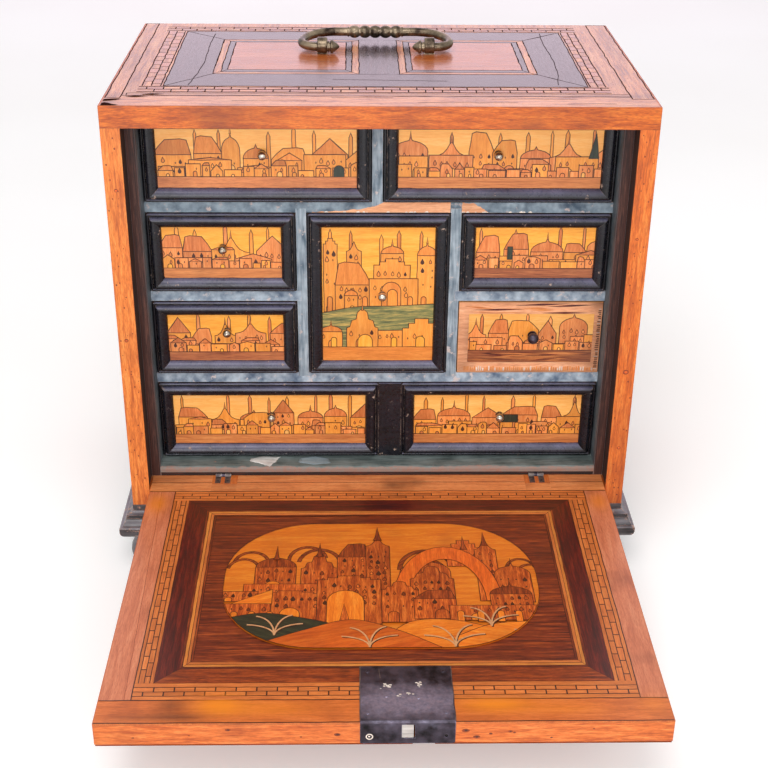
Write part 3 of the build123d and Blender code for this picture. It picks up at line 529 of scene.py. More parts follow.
class Wood(Enum):
    """The veneers and boards, each a finish of its own."""

    # Boxwood laid for skies: pale, yellow, with soft wide bands.
    SKY = WoodFinish("boxwood_sky_veneer", ("ea9026", "f8aa38", "febe56"), band=4.0, blotch=("cc742a", 0.25))
    # Sapwood skies of the two top drawers: paler still.
    PALE_SKY = WoodFinish("sapwood_sky_veneer", ("f0a048", "fcb85e", "ffca7c"), band=4.0, blotch=("d88840", 0.3))
    # Pearwood laid for walls: even, warm, fine-pored.
    WALL = WoodFinish("pearwood_wall_veneer", ("e0822c", "f49c3c", "fcb054"), band=2.5, blotch=("b86428", 0.35))
    # Pearwood scorched a little in hot sand: the shaded walls and roofs.
    SHADE = WoodFinish("shaded_pearwood_veneer", ("cc7026", "e88a38", "f6a44e"), band=2.5, blotch=("a05424", 0.45))
    # Cherry walls of the small drawers: pinker than the pearwood, and mottled.
    ROSE_WALL = WoodFinish(
        "cherry_wall_veneer", ("d87430", "f0924c", "fcac68"), band=2.5, blotch=("a8542c", 0.45), contrast=1.3
    )
    ROSE_SHADE = WoodFinish(
        "shaded_cherry_wall_veneer", ("c4642a", "e08040", "f29a5a"), band=2.5, blotch=("8c4222", 0.5), contrast=1.3
    )
    # Plum laid for the ground under the houses: streaky, brown.
    GROUND = WoodFinish("plumwood_ground_veneer", ("a4562a", "d07e42", "e69a58"), band=2.6, stretch=20)
    DARK_GROUND = WoodFinish("dark_plumwood_ground_veneer", ("5e2814", "b4643a", "d48a50"), band=2.2, stretch=24)
    # The lines cut by the saw and filled with dark mastic.
    LINE = WoodFinish("saw_line_mastic", ("240c05", "3a1508", "4e200e"), band=2.0, relief=0.02, coat=0.0)
    # The same lines in the top: open, dry grooves that never mirror.
    GROOVE = WoodFinish(
        "open_joint_grime", ("170a0c", "2c1514", "42221c"), band=2.0, roughness=0.9, coat=0.0, ior=1.1
    )
    # Grass blades let into the hills: pale holly.
    BLADE = WoodFinish("holly_blade_veneer", ("c08050", "d8a070", "e6b68a"), band=2.0)
    # The stiles of the leaf: pinkish fruitwood.
    PINK = WoodFinish("pink_stile_veneer", ("b05c3c", "d27a54", "e4946c"), band=4.0, blotch=("7a3218", 0.5))
    # Deeper windows and holes: bog oak.
    HOLE = WoodFinish("bog_oak_veneer", ("2c120a", "47200f", "5e3018"), band=2.0)
    # Wood stained green with copper salts, faded to straw in the soft bands.
    GREEN = WoodFinish("green_stained_veneer", ("4a5434", "83844e", "dcb662"), band=2.0, stretch=16, contrast=1.5)
    DARK_GREEN = WoodFinish("dark_green_stained_veneer", ("12170f", "262e1e", "4a4f30"), band=2.2)
    # The leaf's picture: deeper, redder woods under old polish.
    DUSK_SKY = WoodFinish("golden_sky_veneer", ("d8641a", "ec801e", "f69e36"), band=3.5, blotch=("b85a1a", 0.5))
    DUSK_WALL = WoodFinish("walnut_wall_veneer", ("8a3210", "ca581a", "f08030"), band=2.2, contrast=1.7)
    DUSK_SHADE = WoodFinish("dark_walnut_wall_veneer", ("5c200a", "92390f", "b8541f"), band=2.2, contrast=1.7)
    DUSK_HILL = WoodFinish("red_hill_veneer", ("bc4a12", "e2641a", "f27e28"), band=3.5, contrast=1.3)
    DUSK_LAND = WoodFinish("gold_hill_veneer", ("d86414", "f28020", "fc9c34"), band=3.5, contrast=1.3)
    # Borders.
    # The hinge rail: the border veneer made paler, a painted highlight for the glare it catches.
    RAIL = WoodFinish("hinge_rail_veneer_painted_glare", ("b8663a", "e28a4e", "f0a468"), band=4.0, blotch=("7a3a1c", 0.5))
    ORANGE = WoodFinish("orange_border_veneer", ("aa501e", "d06a2b", "e28040"), band=4.0, blotch=("7a3012", 0.45))
    BRICK = WoodFinish("brick_border_veneer", ("b45a2a", "da7836", "ec8e4a"), band=4.0, blotch=("7a3012", 0.35))
    PALE = WoodFinish("pale_string_veneer", ("c4682a", "e0883a", "f0a04c"), band=3.0)
    WALNUT = WoodFinish("walnut_field_veneer", ("3a0f06", "78290e", "b0501f"), band=2.4, stretch=20, contrast=1.5)
    RED = WoodFinish("red_walnut_band_veneer", ("2c0604", "581208", "7e2410"), band=3.0, stretch=14, contrast=1.4)
    # The top, under a thick shellac polish that mirrors what stands on it.
    TOP_DARK = WoodFinish(
        "polished_walnut_top", ("180b0d", "301a1b", "482a28"), band=3.2, roughness=0.26, coat=0.3, film=0.1
    )
    TOP_LIGHT = WoodFinish(
        "polished_rosewood_top_panel", ("94461e", "b8602c", "cf7a3e"), band=5.0, roughness=0.26, coat=0.3, film=0.1
    )
    TOP_PALE = WoodFinish(
        "polished_pearwood_top", ("8c4822", "d0804e", "eca66e"), band=4.0, roughness=0.3, coat=0.2, film=0.12,
        contrast=1.6
    )
    BARE = WoodFinish("bare_ground_wood", ("c4805a", "eaa67a", "f8c49c"), band=3.0, roughness=0.7, coat=0.0)
    CHALK = WoodFinish("chipped_gesso", ("d8bfae", "eee0d2", "f8efe6"), band=2.0, roughness=0.8, coat=0.0)
    # Front edges of the linings: dark, streaky, never painted.
    EDGE = WoodFinish(
        "raw_lining_edge", ("160c0c", "3e201a", "6e4438"), band=1.6, stretch=24, roughness=0.6, coat=0.0,
        contrast=1.6
    )
    # Near-black wood: the dark inner faces of the rebates, and painted shade at the foot of the sill's front and in
    # a nail hole.
    DARK_REBATE_AND_SHADE = WoodFinish(
        "dark_rebate_and_painted_shade", ("0a0606", "22100e", "5a2a1c"), band=2.2, stretch=20, roughness=0.7, coat=0.0, contrast=1.5
    )


class Board(Enum):
    """The solid wood of the carcase."""

    SIDE = WoodFinish(
        "fruitwood_side_board", ("b4541c", "e47c2e", "f69c4a"), Grain.Z, band=3.0, contrast=1.5, coat=0.05,
        wear=("7a3c1a", 0.6), blotch=("8a3f18", 0.3)
    )
    SIDE_RIGHT = WoodFinish(
        "reddened_fruitwood_side_board", ("a84a14", "da6a1c", "ec8a38"), Grain.Z, band=3.0, contrast=1.5, coat=0.05,
        wear=("6e3014", 0.6), blotch=("8a3a14", 0.35)
    )
    TOP = WoodFinish(
        "fruitwood_top_board", ("8e3a0a", "ca5e10", "e47e26"), Grain.X, band=3.0, stretch=9, wear=("5a2a14", 0.75),
        blotch=("7a3514", 0.55), contrast=1.5, coat=0.05
    )
    LEAF = WoodFinish(
        "fruitwood_leaf_board", ("b04c1a", "e0722e", "f4924a"), Grain.X, band=2.8, contrast=1.5, coat=0.05,
        wear=("6e3014", 0.6), blotch=("8a3a16", 0.35)
    )
    STILE = WoodFinish(
        "orange_leaf_veneer", ("a84c1e", "cb6a2c", "dd8340"), Grain.Y, band=4.5, blotch=("6e2c10", 0.5)
    )
    DEAL = WoodFinish(
        "oxidised_deal_board", ("8f6a44", "b08a5c", "c8a476"), Grain.Y, band=7.0, roughness=0.7, coat=0.0
    )
    DEAL_ACROSS = WoodFinish(
        "oxidised_deal_back", ("7c5836", "9c764c", "b79066"), Grain.X, band=9.0, roughness=0.7, coat=0.0
    )
    GROUND = WoodFinish(
        "drawer_front_ground", ("b0703e", "c98a52", "dba068"), Grain.X, band=4.0, roughness=0.6, coat=0.0
    )
    # The fronts of the framed drawers, near-black under their mouldings: painted shade, so that the gaps round the
    # mouldings read dark.
    SHADOW_GROUND = WoodFinish(
        "drawer_front_painted_shadow", ("1e120e", "36221a", "523426"), Grain.X, band=4.0, roughness=0.6, coat=0.0
    )


class Coat(Enum):
    """Painted, stained and metal surfaces."""

    # Pearwood stained black and rubbed with wax, pale chips on the arrises; its slate highlights are a painted
    # sheen, a paler colour on what faces upward.
    EBONISED = CoatedFinish(
        "ebonised_pearwood", ("060509", "17151f"), "e4c4b0", chips=0.7, patches=0.36, roughness=0.28, ior=1.45,
        sheen_and_dust=("6c6a84", 0.85)
    )
    # The same stain on the base, dusty and knocked about; what faces upward is paler, dust with a painted sheen.
    BASE = CoatedFinish(
        "ebonised_base_moulding", ("161215", "5a5254"), "cf9c80", chips=1.0, patches=0.55, roughness=0.36, coat=0.3,
        sheen_and_dust=("8c8690", 0.6)
    )
    # Distemper on the dividers: blue-grey and matt, worn to the wood.
    DIVIDER = CoatedFinish(
        "blue_grey_distemper", ("50637a", "b4c3cf"), "dcbaa8", chips=0.75, patches=0.56, roughness=0.62, even=True
    )
    # The upper shelf: the same paint, darker.
    DIM_DIVIDER = CoatedFinish(
        "darker_blue_grey_distemper", ("37495a", "92a2ad"), "d0a894", chips=0.75, patches=0.5, roughness=0.62,
        even=True
    )
    UPRIGHT = CoatedFinish(
        "blue_grey_distemper_upright", ("485c6c", "aebcc6"), "d8b4a0", chips=0.75, patches=0.5, streak=Grain.Z,
        roughness=0.62
    )
    # The sill: greenish on top, its front face rubbed to the wood.
    SILL = CoatedFinish(
        "grey_green_distemper_sill", ("46514f", "7a8583"), "a0644a", chips=0.6, patches=0.24, roughness=0.6,
        bare_and_sheen_box=((-2000.0, 33.0, 80.0), (2000.0, 42.0, 96.5))
    )
    # Thin blue-grey distemper over dark linings, with bare reddish front edges.
    LINING = CoatedFinish(
        "thin_distemper_lining", ("40494f", "6b767c"), "5a2c1c", chips=0.5, patches=0.3, streak=Grain.Z,
        roughness=0.6, bare_and_sheen_box=((-2000.0, 30.0, -1500.0), (2000.0, 42.0, 2000.0))
    )
    # Wrought iron, blackened and chipped; towards the lock plate's front edge and over its flange it turns pale
    # lilac, a painted reflection.
    IRON = CoatedFinish(
        "blackened_wrought_iron", ("161014", "544b58"), "b4aec8", chips=1.0, patches=0.2, roughness=0.38,
        metallic=0.7, relief=0.16, bare_and_sheen_box=((-60.0, -302.0, 72.0), (90.0, -254.0, 102.0)), box_soft=0.7, even=True
    )
    # The hinge tongues, worn bright by the drawer above them.
    TONGUE = CoatedFinish(
        "worn_iron_strap", ("40363a", "80746e"), "d0c6be", chips=0.9, patches=0.3, roughness=0.4, metallic=0.7,
        relief=0.12, even=True
    )
    STEEL = CoatedFinish(
        "rubbed_steel_bolt", ("a8a29c", "e4ded8"), "f4efe8", chips=0.3, roughness=0.3, metallic=0.9
    )
    # Cast brass gone brown, bright where fingers polish it.
    BRONZE = CoatedFinish(
        "patinated_cast_brass", ("30251f", "94836d"), "bcac98", chips=0.8, patches=0.25, roughness=0.3,
        metallic=0.9, relief=0.2, even=True
    )
    KNOB = CoatedFinish(
        "worn_tinned_brass_knob", ("7a6e60", "d6cabc"), "f4ece0", chips=0.4, roughness=0.22, metallic=1.0
    )
    # Paper that was painted over with the sill.
    PAINTED_PAPER = CoatedFinish(
        "painted_over_paper", ("66747a", "98a6ac"), "b8bec0", chips=0.0, patches=0.2, roughness=0.8, grit=1.2
    )
    RAG_PAPER = CoatedFinish(
        "old_rag_paper", ("b0aca6", "e0deda"), "f0eeea", chips=0.0, patches=0.1, roughness=0.9, grit=1.2
    )


@cache
def material_of(choice: Wood | Board | Coat) -> Material:
    """The material of a finish, made on first use."""
    return choice.value.build()


# ---- veneer sheets
class Plane(Enum):
    """How a sheet lies: its first and second axes, and the side it is seen from."""

    LEVEL = ((1, 0, 0), (0, 1, 0), (0, 0, 1))
    FRONT = ((1, 0, 0), (0, 0, 1), (0, -1, 0))
    LEFT = ((0, 1, 0), (0, 0, 1), (-1, 0, 0))
    RIGHT = ((0, 1, 0), (0, 0, 1), (1, 0, 0))
    LEAF = ((1, 0, 0), (0, -1, 0), (0, 0, 1))
    UNDER_LEAF = ((1, 0, 0), (0, -1, 0), (0, 0, -1))


@dataclass
class Sheet:
    """A flat sheet of marquetry: veneer pieces laid one after another on a plane.

    Attributes:
        name: The piece's name in the scene.
        origin: Where the sheet's own (0, 0) lies, in mm.
        plane: How it lies.
        seed: Seeds the pieces' tones.
        lift: How far the first piece stands off the plane.
        step: How far each further layer stands off the one before.
        bound: A convex outline that everything is cut to.
        wander: How far a hand-cut line strays, in mm.
        stains: Soft round marks as x, y, reach across, reach up, darkening and amber: stains, with painted shade in
            some corners and, in part, a painted glare on the leaf's near rail.
    """

    name: str
    origin: Place
    plane: Plane
    seed: int = 1
    lift: float = 0.03
    step: float = 0.003
    bound: Outline | None = None
    wander: float = 0.0
    stains: tuple[tuple[float, float, float, float, float, float], ...] = ()
    faces: list = field(default_factory=list)
    level: int = 0

    def __post_init__(self) -> None:
        """Seed the sheet's own chance."""
        self.chance = random.Random(self.seed)

    def cut_place(self) -> Point:
        """Pick the place in a wide board, in mm, that a piece is cut from."""
        return self.chance.uniform(0, 900), self.chance.uniform(0, 900)

    def lay(
        self, outline: Outline, wood: Wood | Coat, grain: float = 0.0, tone: float | None = None,
        raise_it: bool = True
    ) -> None:
        """Lay one veneer piece.

        Args:
            outline: Its corners in the sheet's own mm.
            wood: Which veneer.
            grain: Angle of its fibres, in degrees from the sheet's first axis.
            tone: Lightness from -1 to 1, or None for chance.
            raise_it: Lay it on top of everything so far.
        """
        if raise_it:
            self.level += 1
        cut = clipped(outline, self.bound) if self.bound else outline
        if len(cut) < 3:
            return
        pick = self.chance.uniform(-1, 1)
        shift = self.cut_place()
        self.faces.append((cut, wood, grain, pick if tone is None else tone, shift, self.level))

    def lay_fine(self, box: Box, wood: Wood, grain: float, tone: float) -> None:
        """Lay one board in small cells that share their grain, so that stains can fade across it.

        Args:
            box: Low x, high x, low y, high y.
            wood: Which veneer.
            grain: Angle of its fibres, in degrees.
            tone: Lightness from -1 to 1.
        """
        low_x, high_x, low_y, high_y = box
        self.level += 1
        shift = self.cut_place()
        wide, tall, cell_size = high_x - low_x, high_y - low_y, 6
        across, up = max(1, round(wide / cell_size)), max(1, round(tall / cell_size))
        for i in range(across):
            for j in range(up):
                x, after_x = low_x + wide * i / across, low_x + wide * (i + 1) / across
                cell = rect(x, after_x, low_y + tall * j / up, low_y + tall * (j + 1) / up)
                self.faces.append((cell, wood, grain, tone, shift, self.level))

    def stained(self, x: float, y: float) -> Point:
        """How much the round marks darken and warm a place.

        Args:
            x: Across the sheet.
            y: Up the sheet.

        Returns:
            The shares of darkening and of amber.
        """
        darkening, amber, most = 0.0, 0.0, 0.9
        for cx, cy, rx, ry, dark, warm in self.stains:
            share = math.exp(-(((x - cx) / rx) ** 2) - ((y - cy) / ry) ** 2)
            darkening, amber = darkening + dark * share, amber + warm * share
        return min(darkening, most), min(amber, most)

    def strayed(self, points: Outline, closed: bool) -> Outline:
        """Let a line stray as a hand would cut it.

        Args:
            points: The line's corners.
            closed: Its last point joins its first.

        Returns:
            The line with more points, none of them quite straight.
        """
        ends = points + points[:1] if closed else points
        pace, shortest = 9, 6
        cut: Outline = []
        for a, b in zip(ends, ends[1:]):
            span = math.dist(a, b)
            parts = max(1, round(span / pace)) if span > shortest else 1
            for part in range(parts):
                stray = self.wander if part else 0.0
                share = part / parts
                x = a[0] + (b[0] - a[0]) * share + self.chance.uniform(-stray, stray)
                cut.append((x, a[1] + (b[1] - a[1]) * share + self.chance.uniform(-stray, stray)))
        return cut if closed else cut + [points[-1]]

    def line(self, points: Outline, width: float = 0.45, wood: Wood = Wood.LINE, closed: bool = False) -> None:
        """Lay a thin mitred line of veneer or mastic.

        Args:
            points: The line's middle.
            width: Its width in mm.
            wood: What it is made of.
            closed: Join its last point to its first.
        """
        self.level += 1
        if self.wander:
            points = self.strayed(points, closed)
        count = len(points)
        sides: list[tuple[Point, Point]] = []
        for index, (x, y) in enumerate(points):
            before = points[index - 1] if closed or index else points[0]
            after = points[(index + 1) % count] if closed or index < count - 1 else points[-1]
            into = Vector((x - before[0], y - before[1]))
            out = Vector((after[0] - x, after[1] - y))
            into = into.normalized() if into.length > TINY else out.normalized()
            out = out.normalized() if out.length > TINY else into
            middle = into + out
            middle = middle.normalized() if middle.length > TINY else out
            reach = width / 2 / max(0.45, abs(middle.dot(out)))
            side = (-middle.y * reach, middle.x * reach)
            sides.append(((x + side[0], y + side[1]), (x - side[0], y - side[1])))
        runs = range(count) if closed else range(count - 1)
        for index in runs:
            a, b = sides[index], sides[(index + 1) % count]
            self.lay([a[1], b[1], b[0], a[0]], wood, 0.0, 0.0, raise_it=False)

    def inked(
        self, outline: Outline, wood: Wood, grain: float = 0.0, width: float = 0.45, dark: Wood = Wood.LINE
    ) -> None:
        """Lay a piece with a dark line round it."""
        self.lay(outline, wood, grain)
        self.line(outline, width, dark, closed=True)

    def build(self, body: str, slot: str) -> None:
        """Turn the laid pieces into one mesh.

        Args:
            body: The body that the sheet rides on.
            slot: The record's material slot; not used.
        """
        across, up, facing = (Vector(axis) for axis in self.plane.value)
        mirrored = across.cross(up).dot(facing) < 0
        corners, loops, grains, woods, marks, tones, marked = ([] for _ in range(7))
        for outline, wood, angle, tone, shift, level in self.faces:
            area = sum(a[0] * b[1] - b[0] * a[1] for a, b in zip(outline, outline[1:] + outline[:1]))
            if abs(area) < 1e-3:
                continue
            ordered = outline if (area > 0) != mirrored else outline[::-1]
            height = self.lift + self.step * level
            base = len(corners)
            turn = math.radians(angle)
            along, aside = math.cos(turn), math.sin(turn)
            for x, y in ordered:
                place = Vector(self.origin) + across * x + up * y + facing * height
                corners.append(place * MM)
                marked.append(self.stained(x, y))
                grains.append((x * along + y * aside + shift[0], y * along - x * aside + shift[1]))
            loops.append(list(range(base, len(corners))))
            if wood not in woods:
                woods.append(wood)
            marks.append(woods.index(wood))
            tones.append(tone)
        mesh = bpy.data.meshes.new(self.name)
        mesh.from_pydata(corners, [], loops)
        layer = mesh.uv_layers.new(name="grain")
        for loop in mesh.loops:
            layer.data[loop.index].uv = grains[loop.vertex_index]
        mesh.attributes.new("tone", "FLOAT", "FACE").data.foreach_set("value", tones)
        for index, mark in enumerate(("darkening", "amber") if self.stains else ()):
            mesh.attributes.new(mark, "FLOAT", "POINT").data.foreach_set("value", [m[index] for m in marked])
        mesh.polygons.foreach_set("material_index", marks)
        for wood in woods:
            mesh.materials.append(material_of(wood))
        new_object(self.name, mesh, body)


def brick_band(
    sheet: Sheet, box: Box, pitch: float, woods: tuple[Wood, Wood], upright: bool, border: float = 0.12,
    ink: float = 0.45, dark: Wood = Wood.LINE, tick: float = 0.0
) -> None:
    """Lay a band of two staggered rows of bricks between thin lines.

    Args:
        sheet: Where it goes.
        box: Low x, high x, low y, high y.
        pitch: Length of one brick.
        woods: The two woods that take turns.
        upright: The band runs up the sheet instead of across it.
        border: Share of the band's width that stays plain at each side.
        ink: Width of the lines.
        dark: The wood of the lines.
        tick: Width of the joints between bricks, if it differs from ink.
    """
    low_x, high_x, low_y, high_y = box
    start, end = (low_y, high_y) if upright else (low_x, high_x)
    near, far = (low_x, high_x) if upright else (low_y, high_y)
    margin = (far - near) * border
    rows = ((near + margin, (near + far) / 2), ((near + far) / 2, far - margin))
    sheet.lay(rect(*box), woods[0], 90 if upright else 0)
    sheet.level += 1
    for row, (low, high) in enumerate(rows):
        count = max(1, round((end - start) / pitch))
        size = (end - start) / count
        for index in range(-1, count + 1):
            first = max(start, start + size * (index + 0.5 * row))
            last = min(end, start + size * (index + 1 + 0.5 * row))
            if last - first < 0.5:
                continue
            brick = rect(low, high, first, last) if upright else rect(first, last, low, high)
            sheet.lay(brick, woods[(index + row) % 2], 90 if upright else 0, raise_it=False)
    sheet.level += 1
    for row, (low, high) in enumerate(rows):
        for index in range(-1, count + 1):
            first = start + size * (index + 0.5 * row)
            if start < first < end:
                half = (tick or ink * 1.4) / 2
                ends = (first - half, first + half)
                joint = rect(low, high, *ends) if upright else rect(*ends, low, high)
                sheet.lay(joint, dark, 0, 0, raise_it=False)
    for level in (near + margin, (near + far) / 2, far - margin):
        ends = [(level, start), (level, end)] if upright else [(start, level), (end, level)]
        sheet.line(ends, ink, dark)


def frame_band(
    sheet: Sheet, outer: Box, inner: Box, wood: Wood, dark: Wood = Wood.LINE, ink: float = 0.4,
    sides: tuple[int, ...] = (0, 1, 2, 3)
) -> None:
    """Lay a mitred frame between two rectangles.

    Args:
        sheet: Where it goes.
        outer: Low x, high x, low y, high y of its outside.
        inner: The same for its inside.
        wood: The veneer.
        dark: The wood of the lines.
        ink: Their width.
        sides: Its sides in the order they are laid, counted anticlockwise from the lowest.
    """
    a, b = rect(*outer), rect(*inner)
    for index in sides:
        following = (index + 1) % 4
        piece = [a[index], a[following], b[following], b[index]]
        sheet.inked(piece, wood, 90 if index % 2 else 0, ink, dark)


# ---- inlaid towns
class Roof(Enum):
    """How a building in the marquetry ends at the top."""

    GABLE = "gable"
    BELL = "bell"
    HIP = "hip"
    DOME = "dome"
    CURLED = "curled"
    STEPPED = "stepped"
    FLAT = "flat"


@dataclass
class Town:
    """A made-up town in inlay, drawn by seeded chance.

    Attributes:
        sheet: The sheet it is laid on.
        box: Low x, high x, low y, high y of its field.
        seed: What the town is drawn from.
        walls: The woods of its walls, the last one for roofs.
        sky: The wood of its sky.
        ink: Width of the lines.
        pane: Half width of a window.
    """

    sheet: Sheet
    box: Box
    seed: int
    walls: tuple[Wood, ...] = (Wood.WALL, Wood.WALL, Wood.SHADE)
    sky: Wood = Wood.SKY
    ink: float = 0.65
    pane: float = 1.3

    def __post_init__(self) -> None:
        """Seed the town's own chance."""
        self.chance = random.Random(self.seed)

    def roof_line(self, x: float, y: float, width: float, rise: float, roof: Roof) -> Outline:
        """Points of a roof from its left eave to its right one.

        Args:
            x: The left eave.
            y: The eaves' height.
            width: Distance between the eaves.
            rise: Height of the roof.
            roof: Its kind.

        Returns:
            The points, eaves included.
        """
        shapes = {
            Roof.GABLE: ((0, 0), (0.5, 1)),
            Roof.BELL: ((0, 0), (0.14, 0.06), (0.27, 0.22), (0.37, 0.5), (0.44, 0.8), (0.5, 1)),
            Roof.DOME: ((0, 0), (0.02, 0.2), (0.09, 0.4), (0.2, 0.57), (0.34, 0.68), (0.45, 0.74), (0.5, 1)),
            Roof.CURLED: ((0, 0), (0.1, 0.06), (0.16, 0.4), (0.3, 0.48), (0.34, 0.84), (0.42, 0.97), (0.5, 1)),
            Roof.STEPPED: ((0, 0), (0, 0.34), (0.16, 0.34), (0.16, 0.68), (0.32, 0.68), (0.32, 1), (0.5, 1)),
            Roof.FLAT: ((0, 0), (0, 0.3), (0.5, 0.3))
        }
        if roof is Roof.HIP:
            shares = ((0, 0), (0.1, 0.92), (0.26, 1), (0.66, 0.94), (0.84, 0.5), (1, 0))
            flip = self.chance.random() < 0.5
            run = [((1 - a) if flip else a, b) for a, b in (reversed(shares) if flip else shares)]
        else:
            half = shapes[roof]
            run = list(half) + [(1 - a, b) for a, b in reversed(half[:-1])]
        return [(x + width * a, y + rise * b) for a, b in run]

    def teardrop(self, x: float, y: float, half: float) -> None:
        """One small window: a drop of darker wood with a line round it.

        Args:
            x: Its middle.
            y: The middle of its round part.
            half: Half its width.
        """
        drop = [(x, y + 2.2 * half)] + arc((x, y), (half, 1.15 * half), 150, 390, 7)
        self.sheet.lay(drop, self.chance.choice((self.walls[-1], self.walls[0], self.walls[-1], Wood.HOLE)), 90)
        self.sheet.line(drop, 0.3 + half * 0.18, closed=True)

    def windows(self, x: float, y: float, width: float, height: float) -> None:
        """Scatter windows over a wall.

        Args:
            x: Left side of the wall.
            y: Its foot.
            width: Its width.
            height: Its height.
        """
        columns = max(1, int(width / (self.pane * 3.6)))
        rows = max(1, int(height / (self.pane * 4.4)))
        for row in range(rows):
            for column in range(columns):
                if self.chance.random() < 0.16:
                    continue
                cx = x + width * (column + self.chance.uniform(0.35, 0.65)) / columns
                cy = y + height * (row + self.chance.uniform(0.35, 0.65)) / rows
                kind = self.chance.random()
                if kind < 0.7:
                    self.teardrop(cx, cy, self.pane * self.chance.uniform(0.7, 1.1))
                    continue
                half = self.pane * 0.45
                lozenge = [(cx, cy - 2 * half), (cx + half, cy), (cx, cy + 2 * half), (cx - half, cy)]
                self.sheet.lay(lozenge, Wood.HOLE, 90)

    def archway(self, x: float, y: float, width: float, height: float, wood: Wood) -> None:
        """A round-headed opening with a line round it.

        Args:
            x: Its left side.
            y: Its foot.
            width: Its width.
            height: Its height at the crown.
            wood: What fills it.
        """
        straight = height - width / 2
        head = arc((x + width / 2, y + straight), (width / 2, width / 2), 0, 180, 8)
        self.sheet.inked([(x, y), (x + width, y)] + head, wood, 90, self.ink)

    def building(self, x: float, y: float, width: float, height: float, rise: float, roof: Roof) -> None:
        """One house or tower with its roof, string course, windows and door.

        Args:
            x: Left side.
            y: Foot.
            width: Width.
            height: Height of the wall.
            rise: Height of the roof.
            roof: Kind of roof.
        """
        sheet = self.sheet
        wood = self.chance.choice(self.walls[:-1])
        eaves = self.roof_line(x, y + height, width, rise, roof)
        sheet.inked([(x, y)] + eaves + [(x + width, y)], wood, 90, self.ink)
        if roof in (Roof.GABLE, Roof.DOME, Roof.HIP) and self.chance.random() < 0.7:
            sheet.inked(eaves, self.walls[-1], 90, self.ink)
        if roof in (Roof.DOME, Roof.BELL, Roof.CURLED) and self.chance.random() < 0.7:
            peak = y + height + rise
            middle = x + width / 2
            spike = [(middle - 0.7, peak - 1), (middle, peak + rise * 0.45), (middle + 0.7, peak - 1)]
            sheet.inked(spike, self.walls[-1], 90, self.ink * 0.8)
        if height > 6:
            self.windows(x + width * 0.06, y + height * 0.4, width * 0.88, height * 0.55)
        if width > 7 and self.chance.random() < 0.75:
            door = min(width * self.chance.uniform(0.2, 0.45), height * 0.5, self.pane * 15)
            left = x + (width - door) * self.chance.uniform(0.15, 0.85)
            inside = self.chance.choice((self.sky, self.walls[-1], self.walls[0]))
            self.archway(left, y, door, min(height * 0.48, door * 1.6), inside)

    def minarets(self, count: int, low: float, high: float) -> None:
        """Thin tapered towers that stand behind the houses.

        Args:
            count: How many.
            low: Least height of a tip.
            high: Greatest height of a tip.
        """
        left, right, base = self.box[:3]
        for index in range(count):
            if self.chance.random() < 0.18:
                continue
            x = left + (right - left) * (index + self.chance.uniform(0.25, 0.75)) / count
            top = self.chance.uniform(low, high)
            half = self.chance.uniform(1.1, 1.9)
            shape = [(x - half, base), (x - half * 0.9, top - 4), (x, top), (x + half * 0.9, top - 4)]
            self.sheet.inked(shape + [(x + half, base)], self.chance.choice(self.walls), 90, self.ink)

    def row(self, y: float, walls: Point, rises: Point, widths: Point, roofs: tuple[Roof, ...]) -> None:
        """A row of buildings from one side of the field to the other.

        Args:
            y: Their foot.
            walls: Least and greatest height of a wall.
            rises: Least and greatest height of a roof.
            widths: Least and greatest width.
            roofs: The kinds of roof to pick from.
        """
        x = self.box[0] + self.chance.uniform(-0.3, 0.3) * widths[0]
        while x < self.box[1] - widths[0] * 0.4:
            width = self.chance.uniform(*widths)
            self.building(
                x, y, width, self.chance.uniform(*walls), self.chance.uniform(*rises), self.chance.choice(roofs)
            )
            x += width * self.chance.uniform(0.94, 1.2)

    def strip_town(self, ground: float, soil: Wood) -> None:
        """The town of one long drawer panel.

        Args:
            ground: Height of the strip of ground.
            soil: The wood of the ground.
        """
        low_x, high_x, low_y, high_y = self.box
        tall = high_y - low_y
        foot = low_y + ground
        self.sheet.lay(rect(*self.box), self.sky, 0, 0.5)
        kinds = (Roof.BELL, Roof.HIP, Roof.HIP, Roof.DOME, Roof.GABLE)
        self.minarets(int((high_x - low_x) / 19), low_y + tall * 0.93, high_y + 2.5)
        self.row(foot, (tall * 0.28, tall * 0.48), (tall * 0.18, tall * 0.34), (14, 34), kinds)
        low_kinds = (Roof.FLAT, Roof.FLAT, Roof.HIP, Roof.FLAT, Roof.GABLE)
        self.row(foot, (tall * 0.1, tall * 0.36), (tall * 0.04, tall * 0.16), (9, 38), low_kinds)
        self.row(foot, (tall * 0.08, tall * 0.2), (tall * 0.04, tall * 0.12), (6, 15), low_kinds)
        self.sheet.inked(rect(low_x, high_x, low_y, foot), soil, 0, 0.35)

    def hill(self, points: Outline, wood: Wood, grain: float = 0.0) -> None:
        """A rounded hill, down to the field's foot.

        Args:
            points: What its skyline passes through.
            wood: The veneer.
            grain: Angle of its fibres, in degrees.
        """
        smooth: Outline = []
        for index in range(len(points) - 1):
            before = points[max(0, index - 1)]
            a, b = points[index], points[index + 1]
            after = points[min(len(points) - 1, index + 2)]
            for step in range(6):
                t = step / 6
                spot = []
                for p, q, r, s in zip(before, a, b, after):
                    bend, turn = 2 * p - 5 * q + 4 * r - s, 3 * q - p - 3 * r + s
                    spot.append(0.5 * (2 * q + (r - p) * t + bend * t * t + turn * t**3))
                smooth.append(tuple(spot))
        smooth.append(points[-1])
        foot = self.box[2]
        outline = [(smooth[0][0], foot)] + smooth + [(smooth[-1][0], foot)]
        self.sheet.inked(outline, wood, grain, self.ink)

